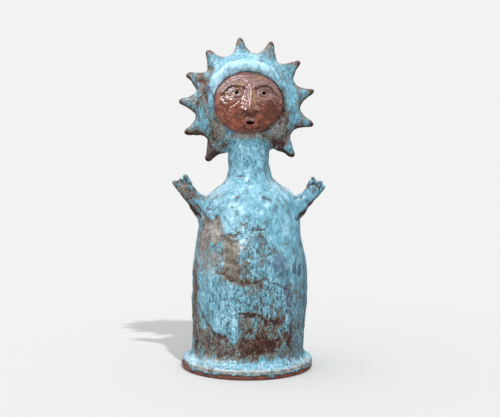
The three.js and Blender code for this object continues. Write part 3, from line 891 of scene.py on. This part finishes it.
def ring_of_clay(u, w, middle, half_width, half_height, width):
    """1 on an oval round the middle, and less beside it: a bump of the distance from the oval."""
    reach = np.hypot((u - middle[0]) / half_width, (w - middle[1]) / half_height)
    return bump((reach - 1) * min(half_width, half_height), width)


def modelling(u, w):
    """The lines and dabs of clay, hatched brows, and the rings round the eyes."""
    height = rough(np.stack([u, w, 0 * u], -1), FACE_LUMPS)
    for rise, width, *path in FACE_LINES:
        height += rise * near_line(u, w, path, width)
    for dab_u, dab_w, radius, rise in FACE_DABS:
        height += rise * bump(np.hypot(u - dab_u, w - dab_w), radius)
    for _, width, *path in BROW_LINES:
        height += HATCH_HEIGHT * near_line(u, w, path, width) * np.sin(HATCH_RATE * (0.9 * u - 0.45 * w))
    for rise, *ring in EYE_RINGS:
        height += rise * ring_of_clay(u, w, *ring)
    return height


print(len(FACE_LINES), "lines and", len(FACE_DABS), "dabs of clay")

# %% The face's skin
FACE_SIDES = 216
FACE_ROWS = 66
WALL_ROWS = 6
RIM_ROUND = 0.8
HOLE_SIDES, HOLE_ROWS = 40, 12
HOLE_BOTTOM, HOLE_TOP = -3, 24


def face_height(u, w):
    """How far the face stands out from its rim: a dome, the bones and the modelling, all fading out
    towards the rim."""
    inner = np.maximum(0, 1 - (u / FACE_HALF_WIDTH) ** 2 - (w / FACE_HALF_HEIGHT) ** 2)
    dome = FACE_DOME * inner**0.72 + RIM_ROUND * fade(inner, 0, 0.07)
    worked = bones(u, w) * np.minimum(1, 6 * inner) + modelling(u, w) * fade(inner, 0, 0.1)
    return FACE_WALL - RIM_ROUND + dome + worked


def on_face(u, w, height):
    """Turns across, up and height into a place: the rim's plane leans back a little at its top."""
    rim = FACE_RIM_DEPTH + FACE_TILT * w / FACE_HALF_HEIGHT
    return FACE_CENTRE + np.stack([u, rim - height, w], -1)


def face():
    """Ovals from the hidden seat to the rim, and on to the middle, each lifted by the face's height."""
    turn = np.linspace(0, 2 * np.pi, FACE_SIDES, endpoint=False)
    wander = 1 + 0.012 * np.sin(3 * turn + 1) + 0.006 * np.sin(7 * turn + 2) + 0.004 * np.sin(12 * turn)
    share = np.concatenate([np.ones(WALL_ROWS), np.linspace(1, 0.01, FACE_ROWS)])[:, None]
    u, w = FACE_HALF_WIDTH * share * np.cos(turn), FACE_HALF_HEIGHT * share * np.sin(turn)
    height = face_height(u.ravel(), w.ravel()).reshape(u.shape)
    height[:WALL_ROWS] = np.linspace(-FACE_SEAT, FACE_WALL - 1.4, WALL_ROWS)[:, None]
    return skin(on_face(u * wander, w * wander, height))


def hole(middle, half_width, half_height, notch):
    """A tapered plug along Y with an uneven oval outline, whose top right is pushed in by the notch."""
    turn = np.linspace(0, 2 * np.pi, HOLE_SIDES, endpoint=False)
    height = np.linspace(HOLE_BOTTOM, HOLE_TOP, HOLE_ROWS)[:, None]
    outline = 1 + 0.07 * np.sin(2 * turn + 0.5) + 0.05 * np.sin(3 * turn) - notch * bump(turn - 1, 0.45)
    outline = outline * (0.85 + 0.15 * fade(height, 0, 12))
    u = middle[0] + half_width * outline * np.cos(turn)
    return skin(on_face(u, middle[1] + half_height * outline * np.sin(turn), height + 0 * u))


face_clay = piece("face_clay", face())
holes = [hole(EYES[0], 2.2, 2.1, 0), hole(EYES[1], 2.1, 1.9, 0), hole(MOUTH, 4.6, 2.1, 0.35)]
print("the face has", len(face_clay.data.polygons), "faces")

# %% [markdown]
# ## One fired piece
#
# The face is pressed into the figure and pierced, so the two skins become one with a Boolean union, and
# three plugs are taken out of it for the pupils and the mouth. Each source keeps its own material through
# the cut: glaze on the figure, a brown face, and painted shade, near black, on the walls inside the holes.

# %% Press the face on and pierce it
GLAZE, FACE, HOLE_SHADE = "turquoise glaze", "brown face", "dark hollow"
for name in [GLAZE, FACE, HOLE_SHADE]:
    bpy.data.materials.new(name)


def store(mesh, name, values):
    """Keeps one number for each vertex, where a material can read it by name."""
    mesh.attributes.new(name, "FLOAT", "POINT").data.foreach_set("value", values)


def joined(thing, tool, operation):
    """The object with the tool added or taken away, and the tool gone."""
    cut = thing.modifiers.new(operation.lower(), "BOOLEAN")
    cut.operation, cut.object = operation, tool
    cut.solver, cut.material_mode = "MANIFOLD", "TRANSFER"
    with_modifiers(thing)
    bpy.data.objects.remove(tool)


store(mesh, "coat", thickness)
mesh.materials.append(bpy.data.materials[GLAZE])
face_clay.data.materials.append(bpy.data.materials[FACE])
for k, roll in enumerate(rolls):
    finger = piece("finger", roll)
    store(finger.data, "coat", 0.5 + 0.2 * lumps(roll[0], 3, 90 + k))
    finger.data.materials.append(bpy.data.materials[GLAZE])
    joined(figure, finger, "UNION")
joined(figure, face_clay, "UNION")
plugs = piece("plugs", together(holes))
plugs.data.materials.append(bpy.data.materials[HOLE_SHADE])
joined(figure, plugs, "DIFFERENCE")
mesh = figure.data
print(len(mesh.polygons), "faces in", len(mesh.materials), "materials")

# %% [markdown]
# ## What the materials need to know
#
# A fired surface looks different on an edge, in a crease, under a run and below the glaze line. Each of
# these is worked out once on the finished mesh and stored with its vertices: how convex the skin is, how
# broken the coat is, where it pooled slate-blue or turned milky or olive, where painted shade darkens
# dents and the foot of ledges, where it thins to a rim that also carries painted shade under glaze ledges
# or ends in bare clay, and where the face was carved or dabbed with ochre or darkened with painted shade.

# %% Broken, slate, painted shade and bare places
# Each row: x, height, half width, half height, tilt in degrees, softness, strength.
BROKEN_PLACES = [
    [11, 138, 18, 34, 4, 0.6, 0.45],
    [24, 84, 26, 24, 0, 0.8, 0.35],
    [-34, 134, 20, 12, 0, 0.8, 0.35],
    [-39, 163, 13, 14, 0, 0.6, 0.2],
    [-15, 146, 14, 15, -10, 0.5, -0.45],
    [-17, 120, 9, 10, 0, 0.5, -0.25],
    [-18, 172, 11, 13, 8, 0.5, -0.3],
    [43, 152, 15, 36, 0, 0.7, -0.5],
    [40, 124, 15, 14, 0, 0.7, -0.3],
    [14, 54, 24, 18, 0, 0.8, 0.4],
    [12, 37, 24, 7, 0, 0.7, -0.6],
    [44, 43, 6, 6, 0, 0.7, -0.4],
    [50, 46, 14, 34, 0, 0.8, 0.4],
    [0, 200, 46, 26, 0, 0.8, -0.45],
    [-35, 30, 20, 18, 0, 0.8, 0.2],
    [-30, 84, 26, 26, 0, 0.9, 0.1],
    [-48, 34, 12, 20, 0, 0.8, 0.3],
    [54, 200, 22, 16, 0, 0.8, -0.2],
    [0, 236, 22, 24, 0, 0.8, -0.2],
    [-10, 350, 30, 9, 0, 0.8, -0.4],
    [-36, 328, 9, 24, -20, 0.7, -0.5],
    [52, 300, 11, 28, 0, 0.8, -0.3],
    [0, 15, 90, 4, 0, 0.8, -0.1],
    [0, 8, 90, 2.5, 0, 0.8, 0.3],
    [-76, 204, 12, 14, 0, 0.8, 0.3],
]
# Slate-blue pools of the glaze, and painted shade: the small dark marks in the dents of the chest, neck and
# shoulders, under the lobe's ledge and beside the hood.
SLATE_AND_SHADE_PLACES = [
    [37, 128, 10, 12, 0, 0.7, 0.8],
    [56, 117, 4, 7, 25, 0.6, 1.2],
    [44, 98, 6, 7, 0, 0.8, 0.9],
    [38, 111, 9, 9, 0, 0.8, 0.5],
    [47, 80, 9, 15, 0, 0.9, 0.5],
    [66, 84, 4, 70, 0, 0.8, 0.6],
    [52, 40, 11, 28, 0, 0.9, 0.4],
    [55, 136, 6, 16, 0, 0.9, 0.4],
    [-12, 160, 7, 1.3, 18, 0.6, 1.2],
    [-41, 186, 4, 1.5, 0, 0.6, 1.1],
    [-36, 200, 2, 4, 0, 0.7, 0.5],
    [19, 200, 5, 2, -14, 0.6, 1.0],
    [7, 190, 3, 2, 0, 0.7, 0.5],
    [23, 176, 2, 8, 15, 0.8, 0.4],
    [-16, 196, 4, 3, 20, 0.8, 0.35],
    [-9, 221.5, 5, 1.3, 0, 0.6, 1.0],
    [-38, 312, 1.7, 12, 24, 0.6, 1.2],
    [-44, 318, 2, 6, 0, 0.6, 0.9],
    [28, 338, 1.5, 10, 35, 0.7, 0.5],
    [48, 280, 4, 8, 0, 0.8, 0.5],
    [-40, 254, 6, 4, 30, 0.8, 0.5],
]
MILKY_PLACES = [
    [-39, 165, 10, 10, 6, 0.8, 0.9],
    [-36, 156, 6, 5, 0, 0.8, 0.4],
    [-51, 148, 4, 15, 0, 0.8, 0.4],
    [-42, 129, 13, 12, 0, 0.9, 0.4],
    [-52, 50, 7, 16, 20, 0.8, 0.25],
    [-38, 18, 14, 4, 0, 0.8, 0.5],
    [-30, 32, 17, 10, 0, 0.8, 0.18],
    [0, 268, 20, 3, 0, 0.8, 0.7],
    [-32, 274, 6, 12, 30, 0.8, 0.4],
    [34, 276, 10, 10, 30, 0.9, 0.3],
    [-76, 206, 8, 12, 0, 0.9, 0.3],
    [0, 9.4, 80, 1.8, 0, 0.8, 0.9],
    [-61, 72, 3, 34, 0, 0.8, 0.1],
]
OLIVE_PLACES = [
    [-15, 149, 13, 12, -8, 0.5, 1.1],
    [-22, 139, 9, 8, 0, 0.8, 0.7],
    [-16, 126, 10, 8, 0, 0.8, 0.7],
    [-16, 113, 20, 4, -12, 0.8, 0.5],
    [-44, 140, 8, 12, 0, 0.8, 0.4],
    [-60, 80, 3, 40, 0, 0.8, 0.2],
]
# Each row: across, up, radius, strength.
# Painted shade: dark dabs under the nose, round the eyes, on the right cheek and lower right, on the chin
# and under the hood.
PAINTED_SHADE_DABS = [
    [2.4, -14, 7, 0.7],
    [-4.6, -12, 4, 0.5],
    [25, -8, 9, 0.5],
    [22, -22, 6, 0.4],
    [-9, -28, 6, 0.3],
    [3, 31, 9, 0.15],
    [-27, 20, 5, 0.3],
    [-21, 14, 7, 0.65],
    [-13, 11, 5, 0.5],
    [17, 13, 8, 0.45],
]
OCHRE_DABS = [
    [6.3, 13, 1.5, 0.7],
    [6.4, 10, 1.6, 0.9],
    [6.7, 7, 1.7, 1.0],
    [6.8, 4, 1.7, 0.9],
    [7.2, 1, 1.6, 0.7],
    [9.6, -4, 1.8, 0.5],
    [-11, 19.5, 2.6, 0.6],
    [-7, 20.6, 2.2, 0.6],
    [14, 27, 3, 0.4],
    [3, -9, 2.6, 0.4],
    [-26, 12, 2.5, 0.35],
    [22, -21, 1.5, 0.4],
]
BROKEN_ALL_OVER = 0.62
BULGE_LIMIT = 0.5


def dabs(u, w, rows):
    """The strongest of the rows' round dabs at each point: strength * bump(distance, radius)."""
    reach = [np.hypot(u - row[0], w - row[1]) for row in rows]
    return np.max([row[3] * bump(away, row[2]) for row, away in zip(rows, reach)], 0)


points, normals, edges = read_skin(mesh)
front, above_line = facing(points), points[:, 2] - glaze_line(points)
bulge = np.clip(bulge_of(points, normals, edges), -BULGE_LIMIT, BULGE_LIMIT)
back_breaks = 0.3 * lumps(points, 26, 81) * fade(points[:, 1], 0, 20)
coat_here = read(mesh.attributes["coat"].data, "value", 1)[:, 0]
thinner = np.clip(neighbour_mean(coat_here, edges, 6) - coat_here, 0, 1)
u, _, w = (points - FACE_CENTRE).T
on_rim = np.hypot(u / FACE_HALF_WIDTH, w / FACE_HALF_HEIGHT) < 1.03
on_front = on_rim & (points[:, 1] < FACE_RIM_DEPTH + 3)
carving, brows = np.zeros((2, len(points)))
carving[on_front] = modelling(u[on_front], w[on_front])
for _, width, *path in BROW_LINES:
    brows[on_front] += near_line(u[on_front], w[on_front] + 0.8, path, 1.3 * width)
kept = {
    "crest": neighbour_mean(bulge, edges),
    "roundness": neighbour_mean(bulge, edges, 8),
    "broken": np.clip(BROKEN_ALL_OVER + front * ovals(points, BROKEN_PLACES) + back_breaks, 0, 1),
    "slate": front * ovals(points, SLATE_AND_SHADE_PLACES),
    "milky": front * ovals(points, MILKY_PLACES),
    "olive": front * ovals(points, OLIVE_PLACES),
    "bare": 1 - fade(above_line, -0.3, 0.5),
    # Partly painted shade: a dark line on the thin side of each coat edge, as under a glaze ledge, and the
    # dark edge just above the glaze line.
    "rim": thinner + 0.3 * bump(above_line - 0.5, 0.9),
    # Painted shade on the face, from the dark dabs.
    "smoke": on_front * dabs(u, w, PAINTED_SHADE_DABS),
    "ochre": on_front * dabs(u, w, OCHRE_DABS),
    "carving": carving,
    "brows": brows,
}
for name, values in kept.items():
    store(mesh, name, values)
mesh.shade_smooth()
mesh.set_sharp_from_angle(angle=math.radians(55))
print("stored:", *kept)

# %% [markdown]
# ## Writing materials as sums
#
# A glaze is easiest to write as arithmetic: coat plus noise, times how broken it is. A small class wraps a
# node's output and turns + - * / into Math nodes, and one method adds every other kind of node.

# %% Wires and recipes
class Wire:
    """One output of a node. Arithmetic on wires and numbers adds Math nodes and gives a new wire."""

    def __init__(self, recipe, socket):
        self.recipe, self.socket = recipe, socket

    def maths(self, operation, first, second):
        settings = {"operation": operation}
        return self.recipe.node("Math", settings, {0: first, 1: second})

    def __add__(self, other):
        return self.maths("ADD", self, other)

    def __sub__(self, other):
        return self.maths("SUBTRACT", self, other)

    def __rsub__(self, other):
        return self.maths("SUBTRACT", other, self)

    def __mul__(self, other):
        return self.maths("MULTIPLY", self, other)

    def __truediv__(self, other):
        return self.maths("DIVIDE", self, other)

    __radd__, __rmul__ = __add__, __mul__

    def step(self, low, high):
        """0 up to low, 1 from high, and a smooth step between them."""
        settings = {"interpolation_type": "SMOOTHSTEP"}
        return self.recipe.node("MapRange", settings, {"Value": self, "From Min": low, "From Max": high})


class Recipe:
    """A material, or the room's light, that is filled node by node."""

    def __init__(self, owner, surface="Principled BSDF"):
        owner.use_nodes = True
        self.tree = owner.node_tree
        self.surface = self.tree.nodes[surface]
        self.place = self.node("TexCoord", {}, {}, "Object")

    def node(self, kind, settings, inputs, output=0):
        """Adds a node: its settings first, a ramp's stops among them, then its sockets' values or links."""
        made = self.tree.nodes.new("ShaderNode" + kind)
        stops = settings.pop("stops", [])
        for name, value in settings.items():
            setattr(made, name, value)
        for _ in stops[2:]:
            made.color_ramp.elements.new(0.5)
        for k, (position, colour) in enumerate(stops):
            made.color_ramp.elements[k].position, made.color_ramp.elements[k].color = position, colour
        self.feed(made, inputs)
        return Wire(self, made.outputs[output])

    def feed(self, made, inputs):
        """Links wires to a node's sockets, and writes plain values into them."""
        for name, value in inputs.items():
            if isinstance(value, Wire):
                self.tree.links.new(value.socket, made.inputs[name])
            else:
                made.inputs[name].default_value = value

    def stored(self, name):
        """A number that the mesh keeps for each vertex."""
        return self.node("Attribute", {"attribute_name": name}, {}, "Fac")

    def noise(self, size, detail=3, stretch=(1, 1, 1), rough=0.55):
        """Soft noise from 0 to 1 whose lumps are about this many millimetres, drawn out by stretch."""
        scale = [1 / (amount * size * MM) for amount in stretch]
        place = self.node("Mapping", {}, {"Vector": self.place, "Scale": scale})
        return self.node("TexNoise", {}, {"Vector": place, "Scale": 1, "Detail": detail, "Roughness": rough})

    def mix(self, share, first, second):
        """A colour between two, by the share of the second."""
        return self.node("Mix", {"data_type": "RGBA"}, {0: share, 6: first, 7: second}, 2)

    def layered(self, base, *layers):
        """The base colour with each layer, a share and a colour, laid over it in turn."""
        for share, over in layers:
            base = self.mix(share, base, over)
        return base

    def dressed(self, height, depth, **inputs):
        """Feeds the surface, with a bump that is this many millimetres deep."""
        bumped = self.node("Bump", {}, {"Height": height, "Distance": depth * MM, "Strength": 1}, 0)
        self.feed(self.surface, {**inputs, "Normal": bumped})


def colour(red, green, blue):
    """A colour as a picture shows it, from 0 to 255, made linear: ((c + 0.055) / 1.055) ** 2.4."""
    return *[((c / 255 + 0.055) / 1.055) ** 2.4 for c in (red, green, blue)], 1


print("a mid turquoise is", np.round(colour(120, 178, 200), 3))

# %% [markdown]
# ## The turquoise glaze
#
# Where the real glaze is thin the iron in the clay burns through: dark brown, then an olive grey. As it
# thickens it turns teal, turquoise and at last a milky sky blue. Two ramps of colours over the coat's
# thickness give both ranges, and a ragged cover decides which one shows. Noise of four sizes moves the
# thickness about, and more so where the coat is broken. Dashes and fine cracks cut through the glaze,
# slate pools darken it, painted shade darkens its dents and the foot of its ledges, milky and olive places
# veil it, a dark line, partly painted shade, follows the thin side of its edges, and it dries out where the
# clay shows.

# %% Mix the glaze
GLAZE_STOPS = [
    (0.15, colour(60, 88, 94)),
    (0.36, colour(76, 118, 132)),
    (0.50, colour(92, 148, 168)),
    (0.64, colour(109, 171, 193)),
    (0.80, colour(135, 190, 211)),
    (0.92, colour(170, 215, 233)),
    (1, colour(184, 227, 245)),
]
CLAY_STOPS = [
    (0, colour(12, 6, 4)),
    (0.10, colour(30, 18, 13)),
    (0.20, colour(58, 43, 33)),
    (0.30, colour(108, 96, 79)),
    (0.44, colour(112, 104, 88)),
    (0.56, colour(68, 68, 60)),
    (0.70, colour(38, 44, 42)),
]
glaze = Recipe(bpy.data.materials[GLAZE])
coat, broken, bare = glaze.stored("coat"), glaze.stored("broken"), glaze.stored("bare")
crest, slate, rim = glaze.stored("crest"), glaze.stored("slate"), glaze.stored("rim")
grain = glaze.noise(1.8, 3, (1, 1, 1.4), 0.65)
mottle = glaze.noise(2.6, 3, (1, 1, 1.2), 0.6)
runs = glaze.noise(3.2, 3, (1, 1, 4))
clouds = glaze.noise(7, 4, (1, 1, 1.5))
dashes = glaze.noise(2.3, 2, (1, 1, 2.2), 0.5).step(0.53, 0.63)
winding = glaze.noise(2.4, 2, (1, 1, 1.3), 0.5) - 0.5
veins = (winding * winding * 1000).step(1, 0.1)
slow = coat + (clouds - 0.5) * 0.6 + (runs - 0.5) * 0.5 - crest.step(0.02, 0.25) * 0.24
cover = ((slow - 0.38) * 2.2 + (grain - 0.5) * (1 + 3.6 * broken)).step(-0.16, 0.24)
glazed_tone = slow + (mottle - 0.5) * (0.4 + 0.6 * broken) + (grain - 0.5) * 0.4
flecks = grain.step(0.56, 0.7) * broken.step(0.2, 0.8)
spotted = dashes * (0.2 + 0.7 * broken) * slow.step(1, 0.8)
cracked = veins * (broken - 0.25).step(0, 0.6)
glazed = glaze.layered(
    glaze.node("ValToRGB", {"stops": GLAZE_STOPS}, {0: glazed_tone}),
    (flecks * 0.7, colour(196, 220, 226)),
    (spotted, colour(38, 60, 68)),
    (cracked * 0.65, colour(32, 40, 38)),
)
clay_tone = slow + (mottle - 0.5) * 0.9 + (grain - 0.5) * 0.7
rust = glaze.noise(4, 3, (1, 1, 0.7)).step(0.4, 0.6) * slow.step(0.34, 0.14)
clay = glaze.node("ValToRGB", {"stops": CLAY_STOPS}, {0: clay_tone})
clay = glaze.mix(rust * 0.85, clay, colour(78, 30, 16))
pooled_and_shaded = (slate * (0.6 + 0.8 * glaze.noise(5, 3, (1, 1, 2.5)))).step(0, 1.2)
milk = glaze.stored("milky") * (grain * 0.6 + glaze.noise(5, 3) * 0.6).step(0.4, 0.7)
olive = (glaze.stored("olive") + (grain - 0.5) * 2).step(0.2, 0.9)
smoked = glaze.mix((mottle + grain * 0.4).step(0.5, 0.85), colour(66, 56, 43), colour(118, 113, 99))
raw = glaze.mix(glaze.noise(2.6, 4).step(0.35, 0.65), colour(80, 38, 28), colour(134, 72, 52))
tones = glaze.layered(
    clay,
    (cover, glazed),
    # Slate-blue pools, and painted shade in dents and under ledges.
    (pooled_and_shaded * 0.85, colour(58, 68, 92)),
    (milk, colour(180, 177, 171)),
    (olive * 0.9, smoked),
    # A dark line on the thin side of coat edges: painted shade under glaze ledges, and the glaze's dark edge
    # above the foot.
    (rim.step(0.03, 0.16) * 0.6, colour(54, 42, 38)),
    (bare, raw),
)
dry = 1 - cover
relief = cover * 0.5 + slow.step(0, 1) * 0.5 + glaze.noise(6.5, 2) * 1.6 + grain * 0.3 - dashes * 0.3
glaze.dressed(
    relief,
    0.5,
    **{
        "Base Color": tones,
        "Roughness": 0.27 + 0.14 * dry + 0.3 * bare + 0.1 * mottle,
        "IOR": 1.5,
    },
)
print("the glaze takes", len(glaze.tree.nodes), "nodes")

# %% [markdown]
# ## The brown face
#
# The face wears a thin, shiny iron glaze instead. It is worn orange on crests and threads, which also
# carry painted glints, and chestnut on the cheeks. A painted sheen makes it duller and cooler towards the
# brow, and painted shade darkens the side away from the window, the hollows and creases (where the glaze
# also gathered), and spots under the nose, round the eyes and on the right cheek. Ochre was dabbed beside
# the nose and on the brows.

# %% Mix the face and the holes
brown = Recipe(bpy.data.materials[FACE])
carving, brows, ochre = brown.stored("carving"), brown.stored("brows"), brown.stored("ochre")
roundness = brown.stored("roundness")
mottle, fine = brown.noise(7, 5, rough=0.65), brown.noise(1.6, 3)
across, upward = (brown.node("SeparateXYZ", {}, {0: brown.place}, axis) / MM for axis in "XZ")
ruddy = (mottle + (fine - 0.5) * 0.4).step(0.36, 0.64)
speckled = fine.step(0.4, 0.6)
creased = (carving + (fine - 0.5) * 0.3).step(-0.15, -1.2)
# Lighter on crests and threads: partly worn glaze, partly painted glints.
worn_and_glints = (carving + (fine - 0.5) * 0.8).step(0.3, 1.4) * (1 - brows)
skin_tone = brown.layered(
    brown.mix(ruddy, colour(98, 52, 40), colour(148, 84, 62)),
    # Painted sheen: duller and cooler towards the brow, where the overhead light lies on the glaze.
    (upward.step(FACE_CENTRE[2] - 10, FACE_CENTRE[2] + 20) * 0.7, colour(118, 80, 76)),
    # Painted shade: darker on the right, the side away from the window.
    (across.step(8, 36) * 0.7, colour(92, 54, 44)),
    # Darker in hollows: partly glaze gathered there, partly painted shade.
    (roundness.step(-0.01, -0.09) * 0.6, colour(62, 34, 30)),
    # Painted shade: darker dabs under the nose, round the eyes and on the right cheek.
    (brown.stored("smoke"), colour(66, 38, 32)),
    (brows * (0.3 + 0.45 * speckled), colour(70, 50, 40)),
    # Dark in cut creases: partly glaze gathered there, partly painted shade.
    (creased * 0.9, colour(36, 18, 16)),
    # Worn crests, with painted glints.
    (worn_and_glints * 0.5, colour(158, 106, 90)),
    (ochre * (0.5 + 0.5 * speckled), colour(166, 130, 60)),
)
brown.dressed(
    0.8 * fine + 1.1 * brown.noise(3.4, 2),
    0.3,
    **{"Base Color": skin_tone, "Roughness": 0.18 + 0.14 * mottle, "IOR": 1.58},
)
# Painted shade: the walls inside the pupils and the mouth are near black, as the hollow figure's inside.
hollow = Recipe(bpy.data.materials[HOLE_SHADE])
hole_shade_colour = hollow.mix(hollow.noise(2, 3).step(0.4, 0.6), colour(14, 9, 8), colour(30, 19, 16))
hollow.dressed(hollow.noise(1.2, 3), 0.2, **{"Base Color": hole_shade_colour, "Roughness": 0.8})
print("the face takes", len(brown.tree.nodes), "nodes")

# %% [markdown]
# ## Floor, light and camera
#
# The figure stands on a plain pale floor in a bright room. The room lights it evenly, a little more from
# the left, and a sun from the right draws one faint shadow to the left. Three windows light nothing: they
# only show in the gloss, as one large highlight from the upper left, one from low on the left and one from
# the right. In the gloss the room is dim below and bright above, so that the glaze keeps its depth. The
# camera looks slightly down from 1.5 m away, through a long lens.

# %% Floor and light
FLOOR_HALF_WIDTH = 6000
FLOOR_TONE = (0.665, 0.665, 0.665, 1)


def pale_floor():
    """A flat square, 12 m wide, just under the foot."""
    corners = FLOOR_HALF_WIDTH * np.array([[-1.0, -1, 0], [1, -1, 0], [1, 1, 0], [-1, 1, 0]])
    return corners, np.array([[0, 1, 2, 3]]), np.empty((0, 3), int)


floor = piece("floor", pale_floor())
floor.visible_glossy = False
floor.data.materials.append(bpy.data.materials.new("pale floor"))
paper = Recipe(floor.data.materials[0])
paper.feed(paper.surface, {"Base Color": FLOOR_TONE, "Roughness": 1, "Specular IOR Level": 0})

ROOM_LIGHT = 0.887
ROOM_SLOPE = 0.4
GLOSS_BELOW = 0.25
GLOSS_ABOVE = 3.6
LAMP_DISTANCE = 1.9
scene = bpy.context.scene
scene.view_settings.view_transform = "Standard"
scene.world = bpy.data.worlds.new("pale room")
scene.world.use_nodes = True
room = Recipe(scene.world, "Background")
toward = room.node("TexCoord", {}, {}, "Generated")
across, upward = (room.node("SeparateXYZ", {}, {0: toward}, axis) for axis in "XZ")
seen = room.node("LightPath", {}, {}, "Is Camera Ray")
mirrored = room.node("LightPath", {}, {}, "Is Glossy Ray")
uneven = 1 - ROOM_SLOPE * across * (1 - seen)
in_gloss = GLOSS_BELOW + (GLOSS_ABOVE - GLOSS_BELOW) * upward.step(0.05, 0.6)
strength = ROOM_LIGHT * uneven * (1 - mirrored * (1 - in_gloss))
room.feed(room.surface, {"Color": (1, 1, 1, 1), "Strength": strength})


def lamp(name, kind, toward, power, only_gloss, **settings):
    """A light in this direction from the figure's middle, pointing back at it. A window lights nothing by
    itself, because the pale room does that: it only shows in the gloss. The sun does the opposite."""
    light = bpy.data.lights.new(name, kind)
    light.energy = power
    for setting, value in settings.items():
        setattr(light, setting, value)
    thing = bpy.data.objects.new(name, light)
    scene.collection.objects.link(thing)
    direction = mathutils.Vector(toward).normalized()
    thing.location = direction * LAMP_DISTANCE + mathutils.Vector((0, 0, FIGURE_HEIGHT / 2 * MM))
    thing.rotation_euler = direction.to_track_quat("Z", "Y").to_euler()
    thing.visible_camera = False
    thing.visible_diffuse = not only_gloss
    thing.visible_glossy = only_gloss


lamp("sun", "SUN", (0.23, -0.574, 0.786), 1.8, False, angle=math.radians(2))
lamp("left window", "AREA", (-0.46, -0.68, 0.57), 42, True, size=0.6)
lamp("low window", "AREA", (-0.5, -0.84, 0.02), 1.2, True, size=0.13)
lamp("right window", "AREA", (0.96, -0.15, 0.1), 4, True, size=0.3)

# %% Camera
CAMERA_LENS = 94.8
CAMERA_PLACE = (0.0031, -1.5, 0.35)
DEGREES_DOWN = 6.34
camera = bpy.data.objects.new("camera", bpy.data.cameras.new("camera"))
scene.collection.objects.link(camera)
scene.camera = camera
camera.data.lens = CAMERA_LENS
camera.location = CAMERA_PLACE
camera.rotation_euler = (math.radians(90 - DEGREES_DOWN), 0, 0)
print("the camera stands", round(-camera.location.y, 2), "m in front")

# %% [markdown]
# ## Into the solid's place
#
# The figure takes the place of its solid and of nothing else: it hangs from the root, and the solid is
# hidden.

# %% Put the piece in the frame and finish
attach(figure, "root")
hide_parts("sun_figure")
